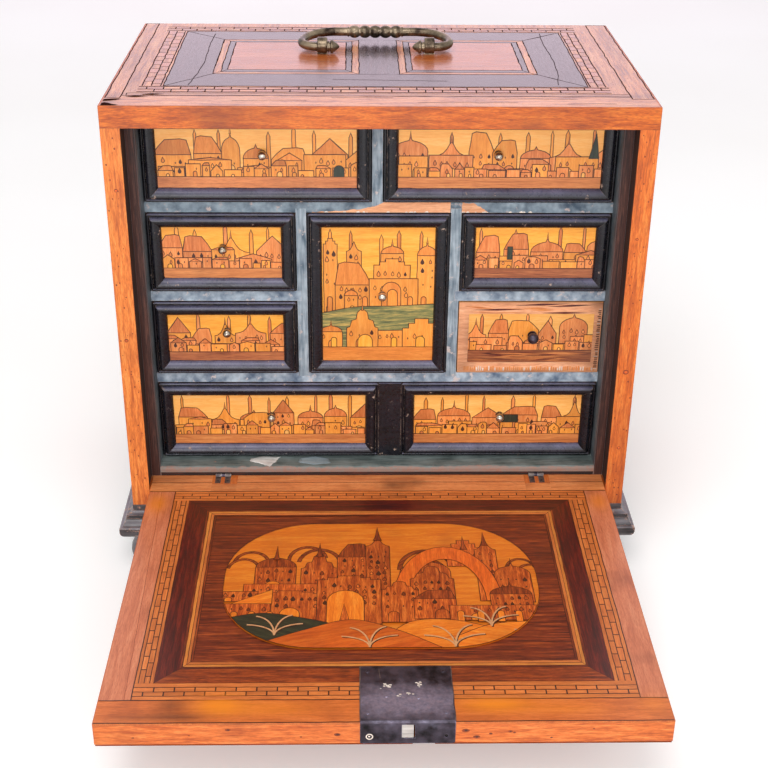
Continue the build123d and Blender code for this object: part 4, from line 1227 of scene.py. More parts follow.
    def tuft(self, x: float, y: float, size: float, wood: Wood) -> None:
        """A spray of curved grass blades.

        Args:
            x: Its root.
            y: The root's height.
            size: How far the blades reach.
            wood: The veneer.
        """
        for lean, lift in ((-1.0, 0.55), (-0.7, 1.0), (0.6, 1.05), (1.0, 0.6)):
            blade = arc((x + lean * size, y), (abs(lean) * size, size * lift), 0, 85, 7)
            if lean > 0:
                blade = [(2 * (x + lean * size) - px, py) for px, py in blade]
            self.sheet.line([(px + 0.7, py - 0.9) for px, py in blade], 1.2)
            self.sheet.line(blade, 1.35, wood)

    def hoop(self, x: float, y: float, size: float, flip: bool) -> None:
        """A branch that bends over and back down: a pale crescent with dark edges.

        Args:
            x: Its root.
            y: The root's height.
            size: Half its span.
            flip: It bends to the left.
        """
        outer = arc((x + size, y), (size, size * 1.2), 180, 10, 12)
        inner = arc((x + size, y), (size * 0.84, size * 1.02), 10, 180, 12)
        shape = outer + inner
        if flip:
            shape = [(2 * x - px, py) for px, py in shape]
        self.sheet.inked(shape, self.walls[-1], 40, self.ink)

    def flying_arch(self, centre: Point, outer: Point, inner: Point, wood: Wood) -> None:
        """A bridge that leaps between towers, as a bent band.

        Args:
            centre: Middle of its span.
            outer: Half width and height of its outer curve.
            inner: The same for its inner curve.
            wood: The veneer.
        """
        shape = arc(centre, outer, 0, 180, 18) + arc(centre, inner, 180, 0, 18)
        self.sheet.inked(shape, wood, 90, self.ink)


# ---- the cabinet's parts
def dress(finishes: dict[str, Board | Coat]) -> None:
    """Give solids their materials, and leave their meshes as they are.

    Args:
        finishes: Each solid's name and its finish.
    """
    for node, choice in finishes.items():
        materials = frame["nodes"][node].data.materials
        materials.clear()
        materials.append(material_of(choice))
        log.info("%s takes %s", node, choice.value.name)


def join_rings(shape: bmesh.types.BMesh, rings: list[list[bmesh.types.BMVert]]) -> None:
    """Join rings of points with quads, and close the last one.

    Args:
        shape: The mesh they are in.
        rings: The rings, from the rim inwards.
    """
    for outer, inner in zip(rings, rings[1:]):
        for index in range(len(outer)):
            after = (index + 1) % len(outer)
            shape.faces.new((outer[index], outer[after], inner[after], inner[index]))
    shape.faces.new(rings[-1])


def smooth_piece(
    name: str, shape: bmesh.types.BMesh, material: Material, body: str
) -> bpy.types.Object:
    """Turn a finished shape into a smooth piece that rides on a body.

    Args:
        name: The piece's name.
        shape: Its shape, which is used up.
        material: Its finish.
        body: The body it moves with.

    Returns:
        The new object.
    """
    mesh = bpy.data.meshes.new(name)
    shape.to_mesh(mesh)
    shape.free()
    mesh.materials.append(material)
    mesh.polygons.foreach_set("use_smooth", [True] * len(mesh.polygons))
    return new_object(name, mesh, body)


def dome(shape: bmesh.types.BMesh, place: Place, facing: Place, radius: float, rise: float) -> None:
    """Add a hammered nail head: a low dome of rings.

    Args:
        shape: The mesh it joins.
        place: Centre of its foot, in mm.
        facing: The way it faces.
        radius: Its radius in mm.
        rise: Its height in mm.
    """
    turn = Vector((0, 0, 1)).rotation_difference(Vector(facing))
    sides = 12
    rings = []
    for share in (1.0, 0.8, 0.5, 0.22):
        height = rise * math.sqrt(1 - share * share * 0.96)
        ring = []
        for index in range(sides):
            angle = index * math.tau / sides
            wobble = 1 + 0.05 * math.sin(3 * angle + place[0])
            reach = radius * share * wobble
            spot = Vector((reach * math.cos(angle), reach * math.sin(angle), height if share < 1 else 0.0))
            ring.append(shape.verts.new((Vector(place) + turn @ spot) * MM))
        rings.append(ring)
    join_rings(shape, rings)


@dataclass
class Case:
    """The carcase: boards, base moulding and feet, with the marquetry on its top and sides.

    Attributes:
        half: Half its width.
        front: Y of its front edges.
        back: Y of its back.
        low: Z of the sides' foot.
        top: Z of the top.
        lid: Thickness of the top board.
        inside: Half the width between the sides.
        linings: Y of the linings' front edges.
        nest: Y of the dividers' front edges.
        room: Lower and upper Z of what the opening shows of the linings.
        sill: Z of the sill's top.
        shelf: Lower and upper Z of the upper shelf's front edge.
        scrap: How high a scrap of paper lies on the sill, and its thickness.
    """

    half: float = 225.0
    front: float = 16.6
    back: float = 299.0
    low: float = 68.5
    top: float = 442.5
    lid: float = 18.3
    inside: float = 209.0
    linings: float = 37.5
    nest: float = 59.6
    room: Point = (87.2, 424.0)
    sill: float = 96.0
    shelf: Point = (337.3, 346.6)
    scrap: Point = (0.13, 0.08)

    def dress(self) -> None:
        """Give the carcase's solids their finishes."""
        dress({
            "side_left": Board.SIDE, "side_right": Board.SIDE_RIGHT, "top_board": Board.TOP,
            "back_board": Board.DEAL_ACROSS, "bottom_board": Board.DEAL, "sill_board": Coat.SILL,
            "liner_left": Coat.LINING, "liner_right": Coat.LINING, "base_front": Coat.BASE, "base_left": Coat.BASE,
            "base_right": Coat.BASE, "base_back": Board.DEAL_ACROSS, "bun_feet": Coat.BASE,
            "shelf_upper": Coat.DIM_DIVIDER, "shelf_lower": Coat.DIVIDER, "short_shelves": Coat.DIVIDER,
            "upright_top": Coat.UPRIGHT, "upright_left": Coat.UPRIGHT, "upright_right": Coat.UPRIGHT
        })

    def top_marquetry(self) -> None:
        """Lay the top: rails, brick border, mitred dark band and two framed panels."""
        sheet = Sheet("inlay_top", (0, self.front, self.top), Plane.LEVEL, seed=31, wander=0.45)
        sheet.stains = (
            (-190, 34, 24, 5, 0.6, 0.0), (205, 30, 18, 6, 0.5, 0.0), (60, 30, 40, 3, 0.35, 0.0),
            (-214, 150, 6, 70, 0.3, 0.0), (216, 200, 7, 80, 0.35, 0.0), (-220, 12, 7, 14, 0.7, 0.0)
        )
        depth = self.back - self.front
        half, arris, rail = self.half, 1.6, 30
        sheet.lay(rect(-half + arris, half - arris, arris, depth - arris), Wood.TOP_PALE, 90, 0.0)
        sheet.lay_fine((-half + arris, half - arris, arris, rail), Wood.TOP_PALE, 0, 1.0)
        sheet.line([(-half + arris, rail), (half - arris, rail)], 1.1, Wood.GROOVE)
        sheet.inked(rect(-207, 205, rail + 0.5, 37.5), Wood.TOP_PALE, 0, 0.8, Wood.GROOVE)
        for low, high in ((-half + 2, -211), (205, half - 2)):
            stile = (low, high, 24, depth - 2)
            sheet.lay_fine(stile, Wood.TOP_PALE, 90, 0.4)
            sheet.line(rect(*stile), 1.0, Wood.GROOVE, closed=True)
        woods = (Wood.TOP_PALE, Wood.TOP_LIGHT)
        for box, upright in (
            ((-200, 191, 38.8, 58.8), False), ((-200, 191, 250, 268.8), False), ((-200, -180, 58.8, 250), True),
            ((174, 191, 58.8, 250), True)
        ):
            brick_band(sheet, box, 13.8, woods, upright, ink=1.0 if upright else 1.7, dark=Wood.GROOVE, tick=1.0)
        left, right, near, far, middle = -142.5, 136, 97.5, 217.5, 17.5
        band = (-180, 174, 58.8, 248.8)
        frame_band(sheet, band, (left, right, near, far), Wood.TOP_DARK, Wood.GROOVE, 0.9)
        sheet.lay(rect(-middle, middle, near, far), Wood.TOP_DARK, 90)
        for low, high in ((left, -middle), (middle, right)):
            outer = (low, high, near, far)
            string = (low + 6.2, high - 6.2, 103.5, 212)
            inner = (low + 11.5, high - 11.5, 111, 208)
            frame_band(sheet, outer, string, Wood.TOP_PALE, Wood.GROOVE, 0.8)
            frame_band(sheet, string, inner, Wood.TOP_DARK, Wood.GROOVE, 0.8)
            sheet.inked(rect(*inner), Wood.TOP_LIGHT, 0, 0.8, Wood.GROOVE)
        for burnt in (
            [(-223, 1.8), (-213, 1.8), (-209, 3.4), (-214, 5.0), (-218, 8.5), (-221, 10), (-223, 8)],
            [(-223, 14), (-219, 15), (-213, 17), (-209, 21), (-216, 20.4), (-223, 19)],
            [(-208, 26.5), (-199, 25.4), (-188, 27.5), (-200, 28.6)],
            [(-196, 33), (-186, 32), (-176, 34), (-187, 35.4)]
        ):
            sheet.lay(burnt, Wood.GROOVE, 35, -0.8)
        for start, end in (((-160, 62), (-150, 240)), ((150, 65), (158, 245)), ((-40, 80), (60, 76))):
            crack = [
                (start[0] + (end[0] - start[0]) * t / 5 + 3 * math.sin(t), start[1] + (end[1] - start[1]) * t / 5)
                for t in range(6)
            ]
            sheet.line(crack, 0.6, Wood.GROOVE)
        for x, y, long in ((-120, 16, 60), (30, 12, 80), (90, 22, 70), (-40, 25, 50), (150, 9, 40)):
            sheet.line([(x, y), (x + long * 0.5, y + 1.2), (x + long, y + 0.4)], 0.5, Wood.GROOVE)
        sheet.build("case", "top_veneer")

    def side_marquetry(self) -> None:
        """Lay the same traditional borders on the two outer sides."""
        deep = self.back - self.front
        tall = self.top - self.lid - self.low
        pitch = 13.8
        for side, name, outward in ((-1, "left", Plane.LEFT), (1, "right", Plane.RIGHT)):
            place = (side * self.half, self.front, self.low)
            sheet = Sheet(f"inlay_side_{name}", place, outward, seed=41 + side)
            sheet.lay(rect(0.6, deep - 0.6, 0.6, tall - 0.2), Wood.ORANGE, 90)
            woods = (Wood.ORANGE, Wood.PALE)
            brick_band(sheet, (24, deep - 24, 26, 42), pitch, woods, False)
            brick_band(sheet, (24, deep - 24, tall - 42, tall - 26), pitch, woods, False)
            brick_band(sheet, (24, 40, 42, tall - 42), pitch, woods, True)
            brick_band(sheet, (deep - 40, deep - 24, 42, tall - 42), pitch, woods, True)
            outer = (40, deep - 40, 42, tall - 42)
            inner = (64, deep - 64, 66, tall - 66)
            frame_band(sheet, outer, inner, Wood.RED)
            string = (70, deep - 70, 72, tall - 72)
            frame_band(sheet, inner, string, Wood.PALE)
            sheet.inked(rect(*string), Wood.WALNUT, 90, 0.5)
            panel = rounded(84, deep - 84, 92, tall - 92, 40)
            sheet.inked(panel, Wood.DUSK_LAND, 90, 0.5)
            sheet.build("case", "walnut_veneer")

    def rubbed_shelf(self) -> None:
        """The long bare wedges along the upper shelf's front edge, with chips of gesso under them."""
        sheet = Sheet("bare_shelf_edge", (0, self.nest, 0), Plane.FRONT, seed=61)
        foot, head = self.shelf
        sheet.bound = rect(-200, 200, foot, head)
        chance = random.Random(62)
        for run in (
            ((-58, 337.4), (-34, 338.6), (-16, 340.4), (-4, 343.0), (4, 346.5), (61, 346.5)),
            ((71, 337.4), (71, 346.5), (80, 345.6), (88, 341.6), (94, 337.4))
        ):
            ragged: Outline = []
            for (ax, az), (bx, bz) in zip(run, run[1:]):
                for step in range(6):
                    share = step / 6
                    jag = chance.uniform(-0.5, 0.5)
                    ragged.append((ax + (bx - ax) * share + jag, az + (bz - az) * share + jag))
            sheet.lay(ragged + [run[-1], (run[-1][0], foot), (run[0][0], foot)], Wood.BARE, 2, 0.1)
        for _ in range(26):
            x = chance.choice((chance.uniform(-60, 60), chance.uniform(70, 130)))
            size = chance.uniform(0.8, 3.6)
            chip = [(x, foot), (x + size, foot), (x + size * 0.7, foot + size * 0.4), (x + size * 0.2, foot + 0.9)]
            sheet.lay(chip, Wood.CHALK, 0)
        sheet.build("case", "grey_divider")

    def rebates(self) -> None:
        """The dark inner faces of the sides, and the raw front edges of the linings, with painted shade along their
        corners with the sides.
        """
        chance = random.Random(68)
        foot, head = self.room
        strips = 5
        for side, name, inward in ((-1, "left", Plane.RIGHT), (1, "right", Plane.LEFT)):
            sheet = Sheet(f"rebate_{name}", (side * self.inside, 0, 0), inward, seed=66 + side)
            # A dark sheet on each side's inner face, in the rebate behind the front edge.
            sheet.lay(rect(self.front + 0.8, self.linings - 0.2, foot + 0.8, head), Wood.DARK_REBATE_AND_SHADE, 90, -0.6)
            sheet.build("case", "walnut_veneer")
            low, high = sorted((side * (self.inside - 7.8), side * (self.inside - 0.2)))
            edge = Sheet(f"liner_edge_{name}", (0, self.linings, 0), Plane.FRONT, seed=69 + side)
            # The edge is darker along its inside corner with the side board, painted shade, and darker towards its
            # foot by the sill.
            corner = (side * (self.inside - 4), self.sill, 12, 12, 0.5, 0.0)
            edge.stains = ((side * self.inside, 250, 2.2, 400, 0.8, 0.0), corner)
            wide = high - low
            for index in range(strips):
                cell = (low + wide * index / strips, low + wide * (index + 1) / strips, foot, head)
                edge.lay_fine(cell, Wood.EDGE, 90, chance.uniform(-0.5, 0.8))
            edge.build("case", "lining_wood")

    def edge_marks(self) -> None:
        """Filled nail holes, knots and flecks on the front edges, and a painted shadow along the foot of the sill.
        """
        sheet = Sheet("edge_marks", (0, self.front, 0), Plane.FRONT, seed=81)
        chance = random.Random(82)
        for side in (-1, 1):
            for _ in range(46):
                x, z = side * chance.uniform(210.5, 223.5), chance.uniform(72, 420)
                size = chance.uniform(0.25, 0.7)
                sheet.lay(arc((x, z), (size, size * 1.4), 0, 320, 7), Wood.DUSK_SHADE, 90)
        for x, z, size in ((217, 205, 2.6), (217.5, 128, 1.7), (-216, 372, 1.6), (-218, 236, 1.8), (215, 330, 1.3)):
            sheet.lay(arc((x, z), (size, size * 0.9), 0, 340, 14), Wood.DUSK_SHADE, 0)
            sheet.lay(arc((x, z), (size * 0.55, size * 0.5), 0, 340, 12), Wood.DUSK_HILL, 0)
        sheet.build("case", "walnut_veneer")
        foot = Sheet("sill_foot_painted_shadow", (0, self.linings, 0), Plane.FRONT, seed=83)
        # Painted shadow: a dark strip along the lower part of the sill's front, just above the leaf.
        foot.lay(rect(-200.5, 200.5, 86.6, 90.4), Wood.DARK_REBATE_AND_SHADE, 0, -0.5)
        foot.build("case", "grey_divider")

    def paper_scraps(self) -> None:
        """Two torn scraps of paper that lie on the sill."""
        torn = (
            ((-119, 47), (-110, 44), (-100.5, 38.0), (-95, 46.0), (-91, 55.5), (-108, 57), (-118, 53)),
            ((-74, 45.5), (-60, 41.0), (-44, 44.0), (-46, 52.5), (-58, 57.0), (-72, 54.0))
        )
        papers = (Coat.RAG_PAPER, Coat.PAINTED_PAPER)
        rise, thickness = self.scrap
        for index, corners in enumerate(torn):
            chance = random.Random(5 + index)
            rim: Outline = []
            for (ax, ay), (bx, by) in zip(corners, corners[1:] + corners[:1]):
                for share in (0, 0.2, 0.4, 0.6, 0.8):
                    x = ax + (bx - ax) * share + chance.uniform(-0.6, 0.6)
                    rim.append((x, ay + (by - ay) * share + chance.uniform(-0.5, 0.5)))
            middle = (sum(x for x, _ in rim) / len(rim), sum(y for _, y in rim) / len(rim))
            shape = bmesh.new()
            rings = []
            for share in (1.0, 0.75, 0.5, 0.25):
                ring = []
                for number, (x, y) in enumerate(rim):
                    lift = rise + 0.02 * math.sin(number * 0.9 + 6 * share) + 0.02 * (share > 0.9) * chance.random()
                    x, y = middle[0] + (x - middle[0]) * share, middle[1] + (y - middle[1]) * share
                    ring.append(shape.verts.new(Vector((x, y, self.sill + lift)) * MM))
                rings.append(ring)
            join_rings(shape, rings)
            piece = smooth_piece(f"paper_scrap_{index}", shape, material_of(papers[index]), "case")
            piece.modifiers.new("thickness", "SOLIDIFY").thickness = thickness * MM

    def build(self) -> None:
        """Dress and lay everything on the carcase."""
        self.dress()
        self.top_marquetry()
        self.side_marquetry()
        self.rubbed_shelf()
        self.rebates()
        self.edge_marks()
        self.paper_scraps()


@dataclass
class Leaf:
    """The fall front: board, veneer, bandings, picture, hinges and lock.

    Attributes:
        half: Half its width.
        hinge: Y of the hinge line.
        face: Z of its inner face when open.
        length: From the hinge line to its free edge.
        thickness: Its thickness.
        picture: Low x, high x, near and far distance of the picture from the hinge.
        picture_corner: Radius of the picture's corners.
        bricks: Low x, high x, near and far distance of the brick border's outside.
        band: The same for the dark band's outside.
        walnut: The same for its inside, where the strings begin.
        strings: Width of the strings between the dark band and the walnut field.
        lock: Low and high x that the border keeps clear for the lock plate.
        lock_end: Distance from the hinge at which the lock plate begins.
    """

    half: float = 208.0
    hinge: float = 37.4
    face: float = 87.0
    length: float = 336.4
    thickness: float = 20.6
    picture: Box = (-128.7, 128.7, 82.0, 254.5)
    picture_corner: float = 76.0
    bricks: Box = (-184.0, 187.5, 28.3, 311.8)
    band: Box = (-170.0, 171.5, 43.8, 292.8)
    walnut: Box = (-152.5, 155.0, 59.6, 276.8)
    strings: float = 9.0
    lock: Point = (-17.9, 50.9)
    lock_end: float = 275.2

    def sheet(self, name: str, seed: int) -> Sheet:
        """An empty sheet on the leaf's inner face, measured from the hinge line to the free edge."""
        return Sheet(name, (0, self.hinge, self.face), Plane.LEAF, seed=seed)

    def inset(self, by: float) -> Box:
        """The inside of the dark band moved inwards, a tenth more at the near and far sides."""
        low_x, high_x, near, far = self.walnut
        return low_x + by, high_x - by, near + by * 1.1, far - by * 1.1

    def dress(self) -> None:
        """Give the leaf's solids their finishes."""
        dress({
            "leaf_board": Board.LEAF, "leaf_veneer": Board.STILE, "leaf_picture": Board.STILE,
            "lock_plate": Coat.IRON, "lock_works": Coat.IRON, "lock_bolt": Coat.STEEL, "hinge_straps": Coat.TONGUE,
            "hinge_plates_and_pins": Coat.IRON
        })

    def borders(self) -> None:
        """Lay the rails, stiles, brick border, dark band and strings."""
        sheet = self.sheet("inlay_leaf_borders", 11)
        sheet.wander = 0.2
        # Round marks on the leaf: dark stains, and amber; the bright amber patches along the near rail stand in
        # partly for glare, a painted highlight.
        sheet.stains = (
            (-154, 317, 12, 9, 0.62, 0.0), (-168, 329, 30, 4, 0.5, 0.0), (-142, 331, 16, 5, 0.45, 0.0),
            (-121, 317, 17, 10, 0.0, 0.9), (-86, 321, 34, 7, 0.0, 0.5), (80, 318, 26, 8, 0.0, 0.9),
            (132, 322, 30, 5, 0.0, 0.4), (196, 318, 12, 12, 0.0, 0.3), (14, 18, 10, 6, 0.55, 0.0),
            (36, 14, 8, 6, 0.5, 0.0), (24, 33, 10, 5, 0.5, 0.0), (-198, 48, 9, 16, 0.0, 0.7),
            (198, 46, 8, 14, 0.0, 0.6), (-200, 120, 5, 30, 0.12, 0.0), (-190, 8, 20, 5, 0.35, 0.0),
            (190, 10, 20, 6, 0.3, 0.0)
        )
        half = self.half - 0.5
        left, right, rail, free = self.bricks
        inner_left, inner_right, near, far = self.band
        lock_left, lock_right = self.lock
        edge, seam, pitch = self.length - 0.7, 12.8, 15.7
        sheet.lay_fine((-half, left, rail, free), Wood.PINK, 90, 0.2)
        sheet.line([(-196.5, rail), (-189, free)], 0.35, Wood.DUSK_SHADE)
        sheet.lay_fine((right, half, rail, free), Wood.PINK, 90, 0.0)
        # The hinge rail in its paler veneer, a painted highlight for its glare.
        for low, high in ((-half, -152.6), (-129.5, 135.4), (158.6, half)):
            sheet.lay_fine((low, high, 0.6, rail), Wood.RAIL, 0, 0.2)
        for low, high in ((-152.6, -129.5), (135.4, 158.6)):
            sheet.lay_fine((low, high, 15.2, rail), Wood.RAIL, 0, 0.2)
        for low, high in ((-half, -152.7), (-129.4, 135.3), (158.7, half)):
            sheet.line([(low, seam), (high, seam)], 0.6)
        for low, high in ((-half, lock_left), (lock_right, half)):
            sheet.lay_fine((low, high, free, self.length - 0.6), Wood.ORANGE, 0, 0.9)
            sheet.line([(low, edge), (high, edge)], 0.9)
        woods = (Wood.BRICK, Wood.BRICK)
        brick_band(sheet, (left, right, rail, near), pitch, woods, False, border=0.22, ink=0.6)
        for low, high in ((left, lock_left), (lock_right, right)):
            brick_band(sheet, (low, high, far, free), pitch, woods, False, border=0.25, ink=0.75)
        for low, high in ((left, inner_left), (inner_right, right)):
            brick_band(sheet, (low, high, near, far), pitch, woods, True, border=0.2, ink=0.7)
        sheet.line([(-half, rail), (half, rail)], 0.8)
        for low, high in ((-half, lock_left), (lock_right, half)):
            sheet.line([(low, free), (high, free)], 0.9)
        for x in (left, right):
            sheet.line([(x, rail), (x, free)], 0.8)
        self.mitred(sheet, self.band, self.walnut, Wood.RED, Wood.DUSK_SHADE)
        steps = (
            (0.0, 2.0, Wood.WALNUT), (2.0, 4.6, Wood.PALE), (4.6, 7.2, Wood.BRICK), (7.2, self.strings, Wood.WALNUT)
        )
        for outer, inner, wood in steps:
            self.mitred(sheet, self.inset(outer), self.inset(inner), wood)
        sheet.build("leaf", "leaf_walnut")

    def mitred(self, sheet: Sheet, outer: Box, inner: Box, wood: Wood, far: Wood | None = None) -> None:
        """A mitred frame whose far side stops at the lock plate.

        Args:
            sheet: Where it goes.
            outer: Low x, high x, near and far distance of its outside.
            inner: The same for its inside.
            wood: The veneer.
            far: The veneer of the far side, if it differs.
        """
        ink, stopped = 0.35, outer[3] >= self.lock_end + 0.3
        frame_band(sheet, outer, inner, wood, ink=ink, sides=(0, 1, 3) if stopped else (0, 1, 3, 2))
        if not stopped:
            return
        wood = far or wood
        a, b = rect(*outer), rect(*inner)
        for x, corner in zip(self.lock[::-1], (2, 3)):
            sheet.inked([(x, outer[3]), (x, inner[3]), b[corner], a[corner]], wood, 0, ink)
        left, right = self.lock
        if inner[3] < self.lock_end + 0.2:
            sheet.lay(rect(left, right, inner[3], self.lock_end), wood, 0)

    def walnut_field(self) -> None:
        """Lay the field round the picture."""
        sheet = self.sheet("inlay_leaf_field", 12)
        sheet.inked(rect(*self.inset(self.strings)), Wood.WALNUT, 0, 0.5)
        sheet.build("leaf", "leaf_walnut")

    def hill_town(self) -> None:
        """Lay a made-up hill town in the rounded frame."""
        low_x, high_x, near, far = self.picture
        place = (0, self.hinge - far, self.face)
        sheet = Sheet("inlay_leaf_picture", place, Plane.LEVEL, seed=13, lift=0.05)
        tall = far - near
        sheet.bound = rounded(low_x, high_x, 0, tall, self.picture_corner)
        sheet.lay(rect(low_x, high_x, 0, tall), Wood.DUSK_SKY, 2)
        town = Town(
            sheet, (low_x, high_x, 0, tall), seed=77, walls=(Wood.DUSK_WALL, Wood.DUSK_WALL, Wood.DUSK_SHADE),
            sky=Wood.DUSK_SKY, ink=0.6, pane=1.6
        )
        for branch in (
            (-92, 112, 16, True), (-100, 104, 14, True), (-78, 118, 17, False), (-32, 112, 19, True),
            (14, 104, 24, False), (20, 98, 18, False), (60, 108, 16, False), (104, 104, 13, False),
            (112, 96, 13, False)
        ):
            town.hoop(*branch)
        plan = (
            (-104, 70, 34, 38, 18, Roof.DOME), (-66, 72, 30, 34, 20, Roof.CURLED), (-36, 70, 26, 52, 20, Roof.HIP),
            (-12, 40, 20, 98, 15, Roof.BELL), (56, 108, 30, 22, 16, Roof.STEPPED), (80, 60, 18, 72, 18, Roof.BELL),
            (16, 60, 42, 40, 20, Roof.DOME), (94, 58, 30, 38, 16, Roof.DOME)
        )
        for plot in plan:
            town.building(*plot)
        town.flying_arch((54, 60), (44, 76), (31, 58), Wood.DUSK_HILL)
        town.building(24, 46, 36, 44, 18, Roof.CURLED)
        for x, top, half in ((-87, 138, 2.6), (-51, 142, 3.2), (-2, 166, 3.6), (71, 152, 3.0), (89, 158, 3.2)):
            spike = [(x - half, top - 20), (x - half * 0.5, top - 15), (x, top), (x + half * 0.5, top - 15)]
            sheet.inked(spike + [(x + half, top - 20)], Wood.DUSK_SHADE, 90, 0.6)
        for plot in (
            (-112, 62, 82, 20, 5, Roof.FLAT), (low_x - 3, 60, 32, 12, 5, Roof.FLAT),
            (-102, 36, 56, 32, 6, Roof.STEPPED)
        ):
            town.building(*plot)
        sheet.inked([(-122, 56), (-88, 76), (-88, 56)], Wood.DUSK_LAND, 20, 0.55)
        town.building(low_x - 2, 34, 42, 22, 3, Roof.FLAT)
        town.building(-52, 30, 52, 56, 8, Roof.STEPPED)
        town.archway(-44, 30, 30, 44, Wood.DUSK_LAND)
        sheet.inked([(-34, 30), (-30, 56), (-25, 30)], Wood.DUSK_WALL, 90, 0.5)
        for plot in (
            (0, 32, 30, 42, 12, Roof.CURLED), (26, 36, 34, 26, 12, Roof.HIP), (88, 38, 34, 30, 14, Roof.DOME),
            (54, 34, 72, 18, 4, Roof.FLAT)
        ):
            town.building(*plot)
        for x in (-120, -106, -92, 60, 76, 92, 106):
            town.archway(x, 32, 5.5, 14, Wood.DUSK_LAND)
        town.hill([(low_x, 36), (-96, 44), (-64, 38), (-36, 28), (-20, 12)], Wood.DARK_GREEN, -20)
        town.hill([(-2, 6), (22, 32), (58, 34), (96, 20)], Wood.DUSK_LAND, 12)
        town.hill([(58, 14), (84, 28), (112, 32), (high_x, 30)], Wood.DUSK_LAND, -12)
        town.hill([(-100, 4), (-62, 22), (-24, 35), (12, 22), (46, 0)], Wood.DUSK_HILL, 15)
        for x, y, size in ((-84, 16, 24), (-10, 1, 24), (56, 1, 26), (86, 26, 24), (112, 8, 14)):
            town.tuft(x, y, size, Wood.BLADE)
        sheet.line(sheet.bound, 0.8, closed=True)
        sheet.build("leaf", "picture_ground")

    def outer_face(self) -> None:
        """Lay plain traditional borders on the leaf's outer face, round the keyhole."""
        place = (0, self.hinge, self.face - self.thickness)
        sheet = Sheet("inlay_leaf_outside", place, Plane.UNDER_LEAF, seed=19)
        half, length = self.half, self.length
        insets = ((0.6, 35, 296), (22, 55, 284), (30, 63, 276), (34, 67, 272))
        rings = [(-half + inset, half - inset, near, far) for inset, near, far in insets]
        for outer, inner, wood in zip(rings, rings[1:], (Wood.ORANGE, Wood.RED, Wood.PALE)):
            frame_band(sheet, outer, inner, wood)
        sheet.inked(rect(*rings[-1]), Wood.WALNUT, 0, 0.5)
        for low, high in ((-half + 0.6, 20), (36.5, half - 0.6)):
            sheet.inked(rect(low, high, 296, length - 0.6), Wood.ORANGE, 0, 0.4)
        sheet.build("leaf", "leaf_walnut")

    def fasteners(self) -> None:
        """Nails in the hinge tongues, and rivets and pins in the lock plate."""
        tip = self.hinge - self.length
        plate, rivet = self.face + 0.5, self.face - 12.8
        straps, nails = (-143.0, 147.0), (-4.4, 4.4)
        places = [(x + by, self.hinge - 9.5, self.face, 1.0, 0.35) for x in straps for by in nails]
        for x, back, radius in (
            (-12, 55, 1.5), (44.5, 55, 1.5), (1.6, 27, 1.2), (25, 25, 1.2), (-12, 9, 1.2), (44.5, 9, 1.2)
        ):
            places.append((x, tip + back, plate, radius, 0.4))
        scratches_and_highlights = Sheet("lock_scratches_and_highlights", (0, 0, plate), Plane.LEVEL, seed=71, lift=0.06)
        chance = random.Random(72)
        for x, y, spread, count in ((2, -260, 5, 16), (25, -259, 4, 8), (11, -271, 3, 5), (19, -270, 4, 5)):
            for _ in range(count):
                cx, cy = x + chance.gauss(0, spread * 0.4), y + chance.gauss(0, spread * 0.4)
                turn, size = chance.uniform(0, 360), chance.uniform(0.3, 1.3)
                scratches_and_highlights.lay(arc((cx, cy), (size, size * 0.6), turn, turn + 300, 6), Wood.CHALK)
        scratches_and_highlights.wander = 0.25
        # Light lines of worn iron along the plate's two sides and far edge are painted highlights on its arrises,
        # with wear; the short one is a scratch.
        for points, width in (
            ([(-17.6, tip + 61), (-17.6, tip + 1)], 0.7), ([(50.6, tip + 61), (50.6, tip + 1)], 0.8),
            ([(-17.4, tip + 60.8), (50.4, tip + 60.8)], 0.5), ([(-3.5, tip + 58), (-2.6, tip + 47)], 0.5)
        ):
            scratches_and_highlights.line(points, width, Coat.TONGUE)
        scratches_and_highlights.build("leaf", "worn_iron")
        # A dark disc in the nail hole by the lock plate's flange: painted shade.
        hole = Sheet("nail_hole_painted_shade", (0, tip + 0.9, 0), Plane.FRONT, seed=73)
        hole.lay(arc((44.2, rivet), (1.6, 1.6), 0, 340, 16), Wood.DARK_REBATE_AND_SHADE)
        hole.build("leaf", "worn_iron")
        shape = bmesh.new()
        for x, y, z, radius, rise in places:
            dome(shape, (x, y, z), (0, 0, 1), radius, rise)
        dome(shape, (-11.0, tip, rivet), (0, -1, 0), radius=3.2, rise=0.5)
        smooth_piece("leaf_nails", shape, material_of(Coat.IRON), "leaf")
        edge = Sheet("leaf_edge_marks", (0, tip, 0), Plane.FRONT, seed=75, lift=0.06)
        for x, z, size in (
            (58, 79, 2.2), (66, 73, 2.0), (76, 76, 1.1), (90, 78, 1.4), (93, 77, 0.9), (120, 72, 0.7),
            (-112, 81, 1.6), (-140, 76, 0.6), (-60, 74, 0.7), (-34, 76, 1.8), (150, 80, 0.6), (-180, 74, 0.8)
        ):
            edge.lay(arc((x, z), (size * 1.3, size * 0.8), 0, 330, 11), Wood.DUSK_SHADE, 0)
            edge.lay(arc((x + 0.2, z), (size * 0.6, size * 0.4), 0, 330, 9), Wood.HOLE, 0)
        edge.build("leaf", "leaf_walnut")
        head = Sheet("rivet_rub", (0, tip - 0.45, 0), Plane.FRONT, seed=74, lift=0.1)
        ring = arc((-11.0, rivet), (2.3, 2.3), 0, 337, 15)
        head.line(ring, 0.9, Wood.CHALK, closed=True)
        head.lay(arc((-11.2, rivet + 0.2), (0.8, 0.7), 0, 330, 8), Wood.CHALK)
        head.build("leaf", "worn_iron")

    def build(self) -> None:
        """Dress and lay everything on the leaf."""
        self.dress()
        self.borders()
        self.walnut_field()
        self.hill_town()
        self.outer_face()
        self.fasteners()


